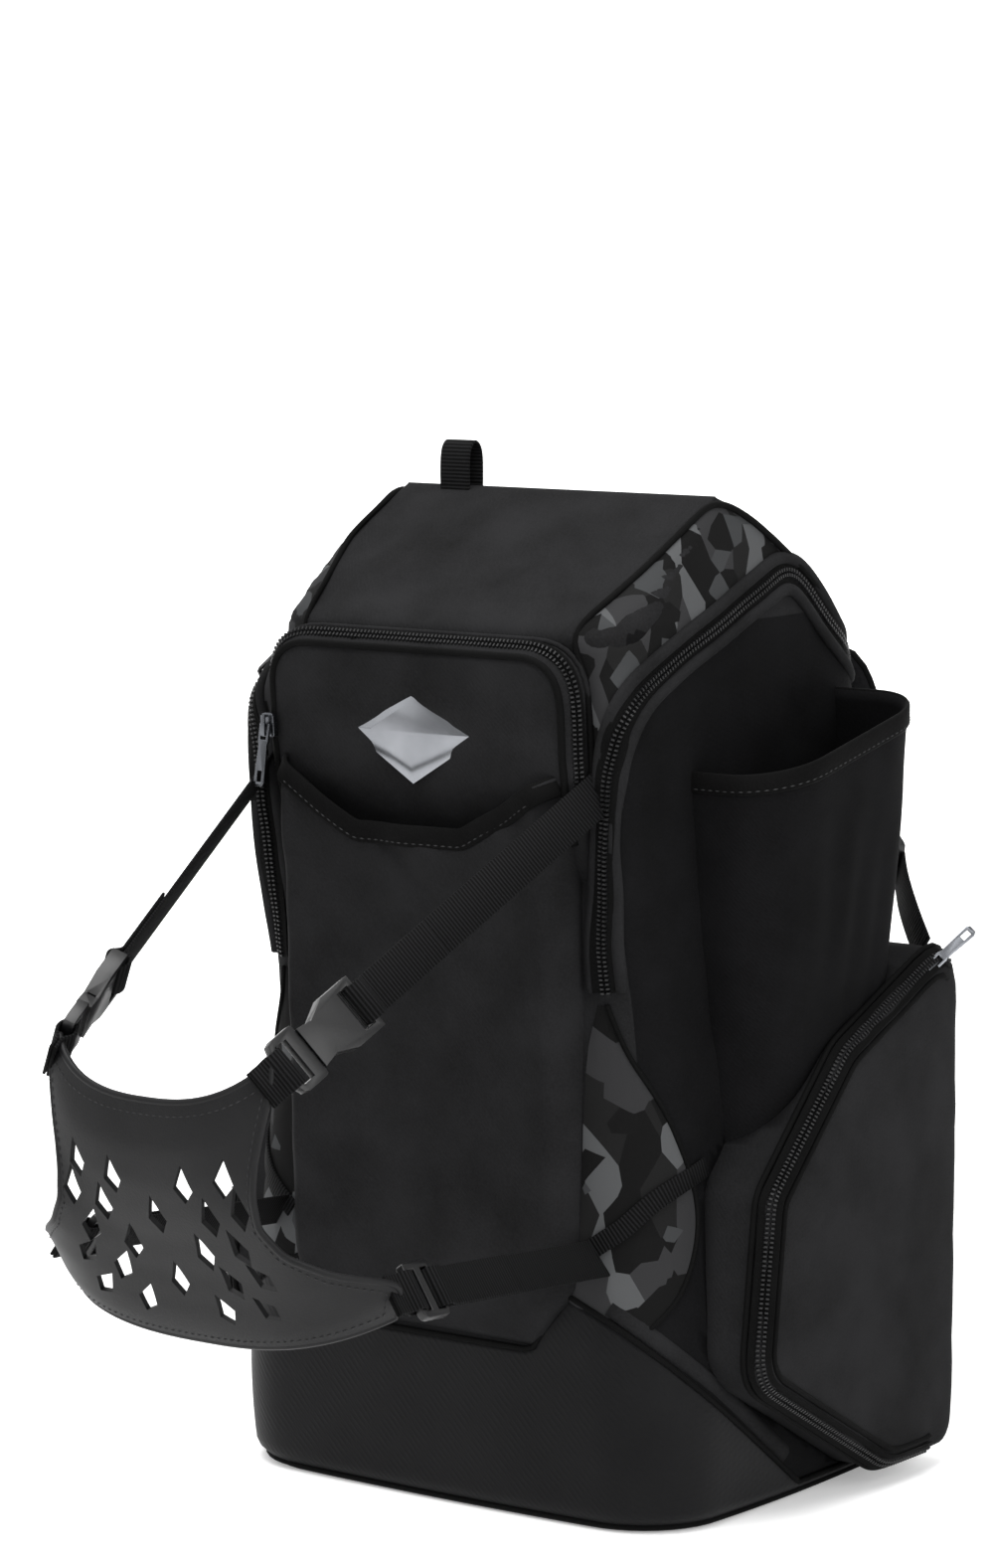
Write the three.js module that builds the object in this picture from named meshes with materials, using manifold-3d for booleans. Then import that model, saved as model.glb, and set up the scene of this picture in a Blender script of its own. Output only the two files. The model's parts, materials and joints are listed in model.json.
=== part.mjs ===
// A sports backpack with a long well at each side and a pierced sling at its front.
// Millimetres, +Z up. The front of the bag faces -Y, and the origin is the middle of its base on the floor.
import * as THREE from "three";
import { mergeVertices } from "three/addons/utils/BufferGeometryUtils.js";
import Module from "manifold-3d";

const wasm = await Module();
wasm.setup();

// Driving dimensions of the bag.
const BAG_HEIGHT = 505;
const BASE_HALF_WIDTH = 142;
const BASE_HALF_DEPTH = 108;
const FRONT_ROUND = 45;
const BACK_ROUND = 24;
const WALL = 2.5;
const FLOOR_THICKNESS = 3;
const SEAM_GAP = 0.35;

// The coated boot round the foot of the bag.
const BOOT_FRONT_HEIGHT = 88;
const BOOT_APEX_HEIGHT = 118;
const BOOT_FRONT_HALF = 62;
const BOOT_APEX_HALF = 79;
const BOOT_BACK_HEIGHT = 8;
const BOOT_FALL_OUT = 0.4;
const BOOT_FALL_BACK = 0.754;

// Pockets on the front.
const POCKET_HALF_WIDTH = BASE_HALF_WIDTH - 46;
const POCKET_TOP = 0.87129 * BAG_HEIGHT;
const POCKET_BOTTOM = 0.63762 * BAG_HEIGHT;
const POCKET_DEPTH = 17;
const POCKET_ROUND = 30;
const LOWER_HALF_WIDTH = POCKET_HALF_WIDTH - 8;
const LOWER_BOTTOM = BOOT_FRONT_HEIGHT + 2;
const LOWER_CHAMFER_HALF = LOWER_HALF_WIDTH - 24;
const LOWER_CHAMFER_TOP = LOWER_BOTTOM + 30;
const LOWER_DEPTH = 19;
const RIM_MIDDLE = 0.68317 * BAG_HEIGHT;
const RIM_SIDE = 0.74653 * BAG_HEIGHT;
const RIM_FLAT_HALF = 32;
const POCKET_WALL = 2;

// The wells at the sides: a zipped pocket below and a stretch sleeve above it.
const WELL_HALF_WIDTH = BASE_HALF_WIDTH - 34;
const SIDE_POCKET_REACH = BASE_HALF_WIDTH + 26;
const SIDE_POCKET_ROUND = 14;
const SLEEVE_WALL = 3;
const SLEEVE_RIM_FRONT = 0.75248 * BAG_HEIGHT;
const SLEEVE_RIM_BACK = 0.79208 * BAG_HEIGHT;
const SLEEVE_TUCK = 12;

// The front sling.
const SLING_HALF_WIDTH = POCKET_HALF_WIDTH + 16;
const SLING_REACH = 112;
const SLING_MIDDLE = [0, -BASE_HALF_DEPTH - SLING_REACH, 200];
const SLING_RISE = 130;
const SLING_DROP = 100;
const SLING_THICKNESS = 3;
const SLING_STRAP_WIDTH = 20;
const STRAP_THICKNESS = 1.8;

// Buckles and zips.
const BUCKLE_WIDTH = 29;
const BUCKLE_THICKNESS = 8;
const ZIP_WIDTH = 9;
const ZIP_THICKNESS = 2;
const PULL_LENGTH = 31;
const PULL_THICKNESS = 1.6;
const ZIP_FOOT = 0.75644 * BAG_HEIGHT;

// Back padding and shoulder straps.
const BACK_PAD_HALF_WIDTH = BASE_HALF_WIDTH - 46;
const BACK_PAD_THICKNESS = 14;
const BACK_PAD_BOTTOM = 34;
const BACK_PAD_TOP = 0.77624 * BAG_HEIGHT;
const SHOULDER_WIDTH = 58;
const SHOULDER_THICKNESS = 13;

const HANGING_LOOP_X = -0.366 * BASE_HALF_WIDTH;
const HANGING_LOOP_WIDTH = 20;

const FABRIC = new THREE.MeshStandardMaterial({ color: 0x1b1b1c, roughness: 0.9, metalness: 0 });
const COATED = new THREE.MeshStandardMaterial({ color: 0x2a2a2b, roughness: 0.62, metalness: 0 });
const CAMO = new THREE.MeshStandardMaterial({ color: 0x3b3c3d, roughness: 0.85, metalness: 0 });
const NEOPRENE = new THREE.MeshStandardMaterial({ color: 0x212122, roughness: 0.8, metalness: 0 });
const SLING_CLOTH = new THREE.MeshStandardMaterial({ color: 0x303132, roughness: 0.7, metalness: 0 });
const WEBBING = new THREE.MeshStandardMaterial({ color: 0x171718, roughness: 0.85, metalness: 0 });
const ACETAL = new THREE.MeshStandardMaterial({ color: 0x151516, roughness: 0.4, metalness: 0 });
const ZIP_COIL = new THREE.MeshStandardMaterial({ color: 0x121213, roughness: 0.45, metalness: 0 });
const GUNMETAL = new THREE.MeshStandardMaterial({ color: 0x8d8f92, roughness: 0.25, metalness: 1 });
const CHROME = new THREE.MeshStandardMaterial({ color: 0xc9cbce, roughness: 0.15, metalness: 1 });
const AIR_MESH = new THREE.MeshStandardMaterial({ color: 0x242526, roughness: 0.95, metalness: 0 });

const vec = (x, y, z) => new THREE.Vector3(x, y, z);
// A place on the bag, given as shares of its half width, half depth and height.
const onBag = ([x, y, z]) => vec(x * BASE_HALF_WIDTH, y * BASE_HALF_DEPTH, z * BAG_HEIGHT);
const routeOf = (rows) => rows.map(onBag);
const lerp = THREE.MathUtils.lerp;

// A solid of manifold-3d from a closed three.js geometry.
function solid(geometry) {
  const bare = geometry.clone();
  bare.deleteAttribute("normal");
  bare.deleteAttribute("uv");
  const merged = mergeVertices(bare, 1e-4);
  const mesh = new wasm.Mesh({
    numProp: 3,
    vertProperties: new Float32Array(merged.attributes.position.array),
    triVerts: new Uint32Array(merged.index.array),
  });
  return new wasm.Manifold(mesh);
}

// The three.js geometry of a manifold-3d solid.
function geometryOf(made) {
  const mesh = made.getMesh();
  const corners = new Float32Array(mesh.numVert * 3);
  for (let i = 0; i < mesh.numVert; i++) {
    const start = i * mesh.numProp;
    corners.set(mesh.vertProperties.subarray(start, start + 3), i * 3);
  }
  const geometry = new THREE.BufferGeometry();
  geometry.setAttribute("position", new THREE.BufferAttribute(corners, 3));
  geometry.setIndex(new THREE.BufferAttribute(new Uint32Array(mesh.triVerts), 1));
  return geometry;
}

// A closed solid through rings of points, each ring with the same count, capped at both ends.
function loft(rings) {
  const count = rings[0].length;
  const flat = rings.flat().flatMap((p) => [p.x, p.y, p.z]);
  const index = [];
  for (let r = 0; r + 1 < rings.length; r++) {
    for (let i = 0; i < count; i++) {
      const a = r * count + i;
      const b = r * count + ((i + 1) % count);
      index.push(a, b, b + count, a, b + count, a + count);
    }
  }
  const capEnd = (ring, start, flip) => {
    const middle = ring.reduce((sum, p) => sum.add(p), vec(0, 0, 0)).divideScalar(count);
    const hub = flat.length / 3;
    flat.push(middle.x, middle.y, middle.z);
    for (let i = 0; i < count; i++) {
      const a = start + i;
      const b = start + ((i + 1) % count);
      index.push(...(flip ? [hub, b, a] : [hub, a, b]));
    }
  };
  capEnd(rings[0], 0, true);
  capEnd(rings[rings.length - 1], (rings.length - 1) * count, false);
  const geometry = new THREE.BufferGeometry();
  geometry.setAttribute("position", new THREE.BufferAttribute(new Float32Array(flat), 3));
  geometry.setIndex(index);
  const made = solid(geometry);
  if (made.volume() > 0) return made;
  for (let i = 0; i < index.length; i += 3) {
    [index[i + 1], index[i + 2]] = [index[i + 2], index[i + 1]];
  }
  geometry.setIndex(index);
  return solid(geometry);
}

// A prism of a flat outline: axis "x" reads the outline as (y, z), "y" reads it as (x, z) and "z" as (x, y).
function prism(outline, axis, from, to, holes = []) {
  const shape = new THREE.Shape(outline.map(([a, b]) => new THREE.Vector2(a, b)));
  const geometry = new THREE.ExtrudeGeometry(shape, { depth: to - from, bevelEnabled: false });
  const basis = new THREE.Matrix4();
  if (axis === "x") basis.makeBasis(vec(0, 1, 0), vec(0, 0, 1), vec(1, 0, 0)).setPosition(from, 0, 0);
  if (axis === "y") basis.makeBasis(vec(1, 0, 0), vec(0, 0, 1), vec(0, -1, 0)).setPosition(0, to, 0);
  if (axis === "z") basis.makeTranslation(0, 0, from);
  const made = solid(geometry.applyMatrix4(basis));
  return holes.reduce((rest, hole) => rest.subtract(prism(hole, axis, from - 1, to + 1)), made);
}

const box = (low, high) =>
  prism([[low[0], low[1]], [high[0], low[1]], [high[0], high[1]], [low[0], high[1]]], "z", low[2], high[2]);

// The same solid on the other side of the bag.
function mirrored(made) {
  return made.mirror([1, 0, 0]);
}

// Straight-line reading of a table of rows at a given value of its first column.
function readTable(rows, key, at, column) {
  const next = rows.findIndex((row) => row[key] >= at);
  if (next <= 0) return rows[next === 0 ? 0 : rows.length - 1][column];
  const low = rows[next - 1];
  const high = rows[next];
  return lerp(low[column], high[column], (at - low[key]) / (high[key] - low[key]));
}

// Level sections of the bag. Heights are shares of the bag's height, widths of the base's half width,
// front and back of its half depth, and the corners of the two rounds.
const SECTIONS = [
  { at: 0.0, width: 0.944, front: 0.93, back: 0.93, frontRound: 1.0, backRound: 1.0 },
  { at: 0.02, width: 0.993, front: 0.995, back: 0.99, frontRound: 1.0, backRound: 1.0 },
  { at: 0.1, width: 1.005, front: 1.02, back: 1.0, frontRound: 1.02, backRound: 1.0 },
  { at: 0.18, width: 0.985, front: 1.025, back: 1.0, frontRound: 1.02, backRound: 1.0 },
  { at: 0.28, width: 0.944, front: 1.005, back: 1.0, frontRound: 1.0, backRound: 1.0 },
  { at: 0.4, width: 0.894, front: 0.99, back: 0.995, frontRound: 0.96, backRound: 1.0 },
  { at: 0.54, width: 0.852, front: 0.98, back: 0.99, frontRound: 0.9, backRound: 1.0 },
  { at: 0.68, width: 0.831, front: 0.99, back: 0.985, frontRound: 0.86, backRound: 1.0 },
  { at: 0.79, width: 0.824, front: 1.01, back: 0.972, frontRound: 0.84, backRound: 1.0 },
  { at: 0.842, width: 0.817, front: 1.035, back: 0.905, frontRound: 0.82, backRound: 0.9 },
  { at: 0.873, width: 0.813, front: 1.045, back: 0.775, frontRound: 0.76, backRound: 0.75 },
  { at: 0.905, width: 0.806, front: 0.87, back: 0.6, frontRound: 0.6, backRound: 0.6 },
  { at: 0.935, width: 0.795, front: 0.685, back: 0.4, frontRound: 0.42, backRound: 0.45 },
  { at: 0.965, width: 0.781, front: 0.485, back: 0.165, frontRound: 0.24, backRound: 0.3 },
  { at: 0.988, width: 0.764, front: 0.315, back: -0.045, frontRound: 0.12, backRound: 0.16 },
  { at: 1.0, width: 0.745, front: 0.215, back: -0.15, frontRound: 0.06, backRound: 0.1 },
];
const ARC_STEPS = 3;
const SIDE_STEPS = 3;

// The outline of the bag at a height, as points in order round it; grow moves it outwards.
function bodyOutline(z, grow) {
  const at = THREE.MathUtils.clamp(z / BAG_HEIGHT, 0, 1);
  const halfWidth = readTable(SECTIONS, "at", at, "width") * BASE_HALF_WIDTH + grow;
  const front = readTable(SECTIONS, "at", at, "front") * BASE_HALF_DEPTH + grow;
  const back = readTable(SECTIONS, "at", at, "back") * BASE_HALF_DEPTH + grow;
  const most = (front + back) * 0.46;
  const frontShare = readTable(SECTIONS, "at", at, "frontRound");
  const frontRound = Math.min(Math.max(frontShare * FRONT_ROUND + grow, 1), most);
  const backRound = Math.min(Math.max(readTable(SECTIONS, "at", at, "backRound") * BACK_ROUND + grow, 1), most);
  const half = [];
  const arc = (centreX, centreY, radius, from) => {
    for (let i = 0; i <= ARC_STEPS; i++) {
      const angle = from + ((Math.PI / 2) * i) / ARC_STEPS;
      half.push([centreX + radius * Math.cos(angle), centreY + radius * Math.sin(angle)]);
    }
  };
  arc(halfWidth - frontRound, -front + frontRound, frontRound, -Math.PI / 2);
  const sideStart = -front + frontRound;
  const sideEnd = back - backRound;
  for (let i = 1; i < SIDE_STEPS; i++) half.push([halfWidth, lerp(sideStart, sideEnd, i / SIDE_STEPS)]);
  arc(halfWidth - backRound, back - backRound, backRound, 0);
  const left = half.map(([x, y]) => [-x, y]).reverse();
  return [...half, ...left];
}

// The bag's main form as one solid, grown or shrunk all over, from a given foot to its ridge.
function bodySolid(grow, foot = 0) {
  const heights = SECTIONS.map((row) => row.at * BAG_HEIGHT);
  const rings = heights.map((z) => bodyOutline(z, grow).map(([x, y]) => vec(x, y, z + (z > foot ? grow : 0))));
  if (foot < 0) rings.unshift(bodyOutline(0, grow).map(([x, y]) => vec(x, y, foot)));
  if (foot > 0) rings[0] = rings[0].map((p) => vec(p.x, p.y, foot));
  return loft(rings);
}

// Front face of the bag at a height, in Y.
const frontFace = (z) => -readTable(SECTIONS, "at", z / BAG_HEIGHT, "front") * BASE_HALF_DEPTH;
const backFace = (z) => readTable(SECTIONS, "at", z / BAG_HEIGHT, "back") * BASE_HALF_DEPTH;
const sideFace = (z) => readTable(SECTIONS, "at", z / BAG_HEIGHT, "width") * BASE_HALF_WIDTH;

// Outline of the side pocket seen from the side: Y as a share of the half depth, Z of the bag's height.
const SIDE_POCKET_OUTLINE = [
  { corner: "front low", y: -0.5, z: 0.15, round: 26 },
  { corner: "foot", y: 0.46, z: 0.0175, round: 40 },
  { corner: "back low", y: 0.99, z: 0.0175, round: 18 },
  { corner: "back top", y: 0.99, z: 0.548, round: 26 },
  { corner: "sleeve", y: -0.02, z: 0.43, round: 40 },
  { corner: "front top", y: -0.46, z: 0.33, round: 22 },
];
const OUTLINE_STEPS = 3;

function pocketCorners() {
  return SIDE_POCKET_OUTLINE.map((row) => [row.y * BASE_HALF_DEPTH, row.z * BAG_HEIGHT]);
}

// A convex outline moved inwards by a distance, or outwards by a negative one.
function inset(corners, distance) {
  const lines = corners.map((from, i) => {
    const to = corners[(i + 1) % corners.length];
    const length = Math.hypot(to[0] - from[0], to[1] - from[1]);
    const inward = [-(to[1] - from[1]) / length, (to[0] - from[0]) / length];
    return { from: [from[0] + inward[0] * distance, from[1] + inward[1] * distance], along: inward };
  });
  return lines.map((line, i) => {
    const before = lines[(i + lines.length - 1) % lines.length];
    const cross = before.along[0] * line.along[1] - before.along[1] * line.along[0];
    const a = before.along[0] * before.from[0] + before.along[1] * before.from[1];
    const b = line.along[0] * line.from[0] + line.along[1] * line.from[1];
    return [(a * line.along[1] - b * before.along[1]) / cross, (b * before.along[0] - a * line.along[0]) / cross];
  });
}

// A convex outline with its corners rounded, each by its own radius.
function rounded(corners, radii, steps) {
  return corners.flatMap((corner, i) => {
    const before = corners[(i + corners.length - 1) % corners.length];
    const after = corners[(i + 1) % corners.length];
    const toBefore = new THREE.Vector2(before[0] - corner[0], before[1] - corner[1]);
    const toAfter = new THREE.Vector2(after[0] - corner[0], after[1] - corner[1]);
    const half = Math.abs(toBefore.angleTo(toAfter)) / 2;
    const reach = Math.min(radii[i] / Math.tan(half), toBefore.length() * 0.48, toAfter.length() * 0.48);
    const start = toBefore.normalize().multiplyScalar(reach);
    const end = toAfter.normalize().multiplyScalar(reach);
    return Array.from({ length: steps + 1 }, (_, k) => {
      const t = k / steps;
      const a = (1 - t) * (1 - t);
      const b = t * t;
      return [corner[0] + start.x * a + end.x * b, corner[1] + start.y * a + end.y * b];
    });
  });
}

// A ring of the side pocket's outline at a distance out from the bag's middle.
function pocketRing(x, distance) {
  const radii = SIDE_POCKET_OUTLINE.map((row) => Math.max(row.round - distance * 0.6, 4));
  return rounded(inset(pocketCorners(), distance), radii, OUTLINE_STEPS).map(([y, z]) => vec(x, y, z));
}

// How the side pocket's puffed outer face rounds over: reach as a share of the round.
const POCKET_PUFF = [
  { back: 1.6, in: 0.0 },
  { back: 0.6, in: 0.05 },
  { back: 0.2, in: 0.35 },
  { back: 0.0, in: 1.1 },
];

function sidePocketSolid(shrink, innerX) {
  const rings = [pocketRing(innerX, shrink)];
  for (const row of POCKET_PUFF) {
    const x = SIDE_POCKET_REACH - shrink - row.back * SIDE_POCKET_ROUND;
    rings.push(pocketRing(x, shrink + row.in * SIDE_POCKET_ROUND));
  }
  return loft(rings);
}

// The hollow in the bag's side that the well takes up.
const wellRecess = (grow) => {
  const rounds = SIDE_POCKET_OUTLINE.map((row) => row.round + grow);
  const outline = rounded(inset(pocketCorners(), -grow), rounds, OUTLINE_STEPS);
  return prism(outline, "x", WELL_HALF_WIDTH - grow, BASE_HALF_WIDTH * 1.5);
};

// Everything below the boot's top seam; lift raises the seam.
function bootRegion(lift) {
  const wide = BASE_HALF_WIDTH * 1.3;
  const low = -20;
  const rise = (BOOT_APEX_HEIGHT - BOOT_FRONT_HEIGHT) / (BOOT_APEX_HALF - BOOT_FRONT_HALF);
  const side = BOOT_FRONT_HEIGHT + rise * (wide - BOOT_FRONT_HALF) + lift;
  const front = BOOT_FRONT_HEIGHT + lift;
  const outline = [
    [-wide, low], [wide, low], [wide, side],
    [BOOT_FRONT_HALF, front], [-BOOT_FRONT_HALF, front], [-wide, side],
  ];
  const deep = BASE_HALF_DEPTH * 1.3;
  const under = prism(outline, "y", -deep, deep);
  const slope = (x, y) =>
    BOOT_APEX_HEIGHT + lift - BOOT_FALL_OUT * (x - BOOT_APEX_HALF) - BOOT_FALL_BACK * (y + BASE_HALF_DEPTH);
  const corners = [[-wide, -deep], [wide, -deep], [wide, deep], [-wide, deep]];
  const floor = low - BASE_HALF_WIDTH;
  const half = loft([
    corners.map(([x, y]) => vec(x, y, floor)),
    corners.map(([x, y]) => vec(x, y, slope(x, y))),
  ]);
  const slab = box([-wide, -deep, low], [wide, deep, BOOT_BACK_HEIGHT + lift]);
  return under.intersect(half).intersect(mirrored(half)).add(slab);
}

const bodyOuter = bodySolid(0).subtract(wellRecess(0)).subtract(mirrored(wellRecess(0)));
const bodyGrown = bodySolid(SEAM_GAP);

function mainBody() {
  const inner = bodySolid(-WALL, -1).subtract(wellRecess(WALL)).subtract(mirrored(wellRecess(WALL)));
  return bodyOuter.subtract(inner).subtract(bootRegion(SEAM_GAP));
}

function baseBoot() {
  const recess = wellRecess(WALL);
  const inner = bodySolid(-WALL, FLOOR_THICKNESS).subtract(recess).subtract(mirrored(recess));
  const shell = bodySolid(0).subtract(inner).subtract(wellRecess(0)).subtract(mirrored(wellRecess(0)));
  return shell.intersect(bootRegion(0));
}

// The upper front pocket: a shallow zipped tray on the bag's front, thin behind the lower pocket's rim.
const POCKET_PROFILE = [
  { at: 0.0, depth: 0.12, width: 0.86 },
  { at: 0.16, depth: 0.5, width: 0.9 },
  { at: 0.34, depth: 0.85, width: 0.96 },
  { at: 0.6, depth: 1.0, width: 1.0 },
  { at: 0.86, depth: 0.96, width: 0.985 },
  { at: 1.0, depth: 0.8, width: 0.94 },
];

function frontTray(rows, halfWidth, bottom, top, depth, cornerRound, shrink, back) {
  const rings = rows.map((row) => {
    const z = lerp(bottom + shrink, top - shrink, row.at);
    const x = halfWidth * row.width - shrink;
    const y = frontFace(z) - depth * row.depth + shrink;
    const round = Math.min(cornerRound * row.depth, -y + back);
    const corners = [[-x, back], [-x, y], [x, y], [x, back]];
    return rounded(corners, [0.1, round, round, 0.1], OUTLINE_STEPS).map(([a, b]) => vec(a, b, z));
  });
  return loft(rings);
}

const TRAY_BACK = -60;

const pocketCornersFront = () => [
  [-POCKET_HALF_WIDTH, POCKET_BOTTOM], [POCKET_HALF_WIDTH, POCKET_BOTTOM],
  [POCKET_HALF_WIDTH, POCKET_TOP], [-POCKET_HALF_WIDTH, POCKET_TOP],
];

// The upper pocket's outer form, moved inwards by shrink and reaching back to a given Y.
function pocketShape(shrink, back = TRAY_BACK) {
  const tray = frontTray(
    POCKET_PROFILE, POCKET_HALF_WIDTH, POCKET_BOTTOM, POCKET_TOP, POCKET_DEPTH, POCKET_ROUND * 0.45, shrink, back);
  const radii = [POCKET_ROUND * 0.4, POCKET_ROUND * 0.4, POCKET_ROUND, POCKET_ROUND];
  const outline = rounded(inset(pocketCornersFront(), shrink), radii, OUTLINE_STEPS + 1);
  return tray.intersect(prism(outline, "y", -BASE_HALF_DEPTH * 2, back));
}

function frontPocket() {
  return pocketShape(0).subtract(pocketShape(POCKET_WALL, TRAY_BACK + 20)).subtract(bodyGrown);
}

// The open pocket below it, whose rim dips in the middle and whose lower corners are cut off.
const LOWER_PROFILE = [
  { at: 0.0, depth: 0.3, width: 1.0 },
  { at: 0.08, depth: 0.62, width: 1.0 },
  { at: 0.3, depth: 0.92, width: 1.0 },
  { at: 0.6, depth: 1.12, width: 1.0 },
  { at: 0.85, depth: 1.3, width: 1.0 },
  { at: 1.0, depth: 1.35, width: 1.0 },
];

function rimOutline(drop) {
  return [
    [-LOWER_HALF_WIDTH, LOWER_CHAMFER_TOP], [-LOWER_CHAMFER_HALF, LOWER_BOTTOM],
    [LOWER_CHAMFER_HALF, LOWER_BOTTOM], [LOWER_HALF_WIDTH, LOWER_CHAMFER_TOP],
    [LOWER_HALF_WIDTH, RIM_SIDE + drop], [RIM_FLAT_HALF * 1.7, lerp(RIM_MIDDLE, RIM_SIDE, 0.35) + drop],
    [RIM_FLAT_HALF, RIM_MIDDLE + drop], [-RIM_FLAT_HALF, RIM_MIDDLE + drop],
    [-RIM_FLAT_HALF * 1.7, lerp(RIM_MIDDLE, RIM_SIDE, 0.35) + drop], [-LOWER_HALF_WIDTH, RIM_SIDE + drop],
  ];
}

// The lower pocket's outer form, moved inwards by shrink; with no rim given it runs on upwards.
function lowerShape(shrink, back = TRAY_BACK, top = RIM_SIDE) {
  const outline = rimOutline(0).map(([x, z]) =>
    [x - Math.sign(x) * shrink, z < RIM_MIDDLE ? z + shrink : z + top - RIM_SIDE]);
  return frontTray(LOWER_PROFILE, LOWER_HALF_WIDTH, LOWER_BOTTOM, top, LOWER_DEPTH, POCKET_ROUND * 0.3, shrink, back)
    .intersect(prism(outline, "y", -BASE_HALF_DEPTH * 2, back));
}

function lowerFrontPocket() {
  const inner = lowerShape(POCKET_WALL, TRAY_BACK + 20, RIM_SIDE + 20);
  return largest(lowerShape(0).subtract(inner).subtract(bodyGrown).subtract(pocketShape(-SEAM_GAP)));
}

// The biggest body of a solid that a cut left in pieces.
function largest(made) {
  return made.decompose().sort((a, b) => b.volume() - a.volume())[0];
}

// The sleeve: level sections that lean back as they go down, with Y as shares of the half depth.
const SLEEVE_SECTIONS = [
  { at: 0.3, front: -0.4, back: 0.72, reach: 0.9 },
  { at: 0.45, front: -0.42, back: 0.74, reach: 0.935 },
  { at: 0.6, front: -0.48, back: 0.72, reach: 0.985 },
  { at: 0.72, front: -0.53, back: 0.7, reach: 1.035 },
  { at: 0.82, front: -0.55, back: 0.68, reach: 1.08 },
];
const SLEEVE_ROUND = 34;

function sleeveSolid(shrink, foot = 0) {
  const rings = SLEEVE_SECTIONS.map((row, i) => {
    const front = row.front * BASE_HALF_DEPTH + shrink;
    const back = row.back * BASE_HALF_DEPTH - shrink;
    const reach = row.reach * SIDE_POCKET_REACH - shrink;
    const z = row.at * BAG_HEIGHT + (i === 0 ? -foot : 0);
    const corners = [[WELL_HALF_WIDTH, front], [reach, front], [reach, back], [WELL_HALF_WIDTH, back]];
    const radii = [1, SLEEVE_ROUND - shrink, SLEEVE_ROUND - shrink, 1];
    return rounded(corners, radii, OUTLINE_STEPS + 1).map(([x, y]) => vec(x, y, z));
  });
  return loft(rings);
}

function batSleeve() {
  const far = BASE_HALF_DEPTH * 1.2;
  const slope = (SLEEVE_RIM_BACK - SLEEVE_RIM_FRONT) / (0.8 * BASE_HALF_DEPTH);
  const rimAt = (y) => SLEEVE_RIM_FRONT + slope * (y + 0.26 * BASE_HALF_DEPTH);
  const top = [[-far, rimAt(-far)], [far, rimAt(far)], [far, BAG_HEIGHT], [-far, BAG_HEIGHT]];
  const above = prism(top, "x", 0, SIDE_POCKET_REACH * 1.5);
  const foot = inset(pocketCorners(), SLEEVE_TUCK);
  const below = prism(foot, "x", 0, SIDE_POCKET_REACH * 1.5);
  const tube = sleeveSolid(0).subtract(sleeveSolid(SLEEVE_WALL, 5)).subtract(bodyGrown);
  return largest(tube.subtract(above).subtract(below));
}

function sidePocket() {
  const outer = sidePocketSolid(SEAM_GAP, WELL_HALF_WIDTH + SEAM_GAP);
  const inner = sidePocketSolid(WALL + SEAM_GAP, WELL_HALF_WIDTH - 10);
  const made = outer.subtract(inner).subtract(sleeveSolid(-SEAM_GAP));
  const bodyNear = bodyGrown.subtract(wellRecess(-SEAM_GAP * 0.2));
  return largest(made.subtract(bodyNear).subtract(bootRegion(SEAM_GAP)));
}

// Padding on the back, moved inwards by shrink.
function backPadBlock(shrink = 0) {
  const corners = [
    [-BACK_PAD_HALF_WIDTH, BACK_PAD_BOTTOM], [BACK_PAD_HALF_WIDTH, BACK_PAD_BOTTOM],
    [BACK_PAD_HALF_WIDTH * 0.86, BACK_PAD_TOP], [-BACK_PAD_HALF_WIDTH * 0.86, BACK_PAD_TOP],
  ];
  const ring = (y, distance) => rounded(inset(corners, distance + shrink), [30, 30, 30, 30], OUTLINE_STEPS)
    .map(([x, z]) => vec(x, y, z));
  const rear = BASE_HALF_DEPTH + BACK_PAD_THICKNESS - shrink;
  return loft([ring(BASE_HALF_DEPTH * 0.8, 0), ring(rear - 5, 0), ring(rear - 1, 3), ring(rear, 9)]);
}

const backPad = () => backPadBlock().subtract(bodyGrown);

// Flat webbing along a route of points, with its width direction given at each point or once.
function webbing(route, acrossList, width, thickness) {
  const rings = route.map((point, i) => {
    const before = route[Math.max(i - 1, 0)];
    const after = route[Math.min(i + 1, route.length - 1)];
    const along = after.clone().sub(before).normalize();
    const across = (Array.isArray(acrossList) ? acrossList[i] : acrossList).clone();
    across.addScaledVector(along, -across.dot(along)).normalize();
    const up = along.clone().cross(across).normalize();
    const corner = (a, b) =>
      point.clone().addScaledVector(across, a * width * 0.5).addScaledVector(up, b * thickness * 0.5);
    return [corner(-1, -1), corner(1, -1), corner(1, 1), corner(-1, 1)];
  });
  return loft(rings);
}

// A local frame: x runs along the strap or zip, y across it and z away from what carries it.
function frameAt(origin, along, away) {
  const x = along.clone().normalize();
  const z = away.clone().addScaledVector(x, -away.dot(x)).normalize();
  const y = z.clone().cross(x);
  return new THREE.Matrix4().makeBasis(x, y, z).setPosition(origin);
}

const placed = (made, matrix) => made.transform(matrix.elements);

// The sling's surface: a blunt dome, read by an angle out from its middle and a height.
function slingPoint(angle, z, offset) {
  const rise = z - SLING_MIDDLE[2];
  const share = Math.abs(rise) / (rise > 0 ? SLING_RISE : SLING_DROP);
  const level = Math.pow(Math.max(1 - Math.pow(share, 2.5), 0), 0.4);
  const sine = Math.sin(angle);
  const x = (SLING_HALF_WIDTH * level + offset) * Math.sign(sine) * Math.pow(Math.abs(sine), 2 / 3);
  const y = (SLING_REACH * level + offset) * Math.pow(Math.abs(Math.cos(angle)), 2 / 3);
  const lean = rise > 0 ? 0.15 : -0.55;
  return vec(SLING_MIDDLE[0] + x, SLING_MIDDLE[1] - y, z + offset * lean * share);
}

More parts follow.
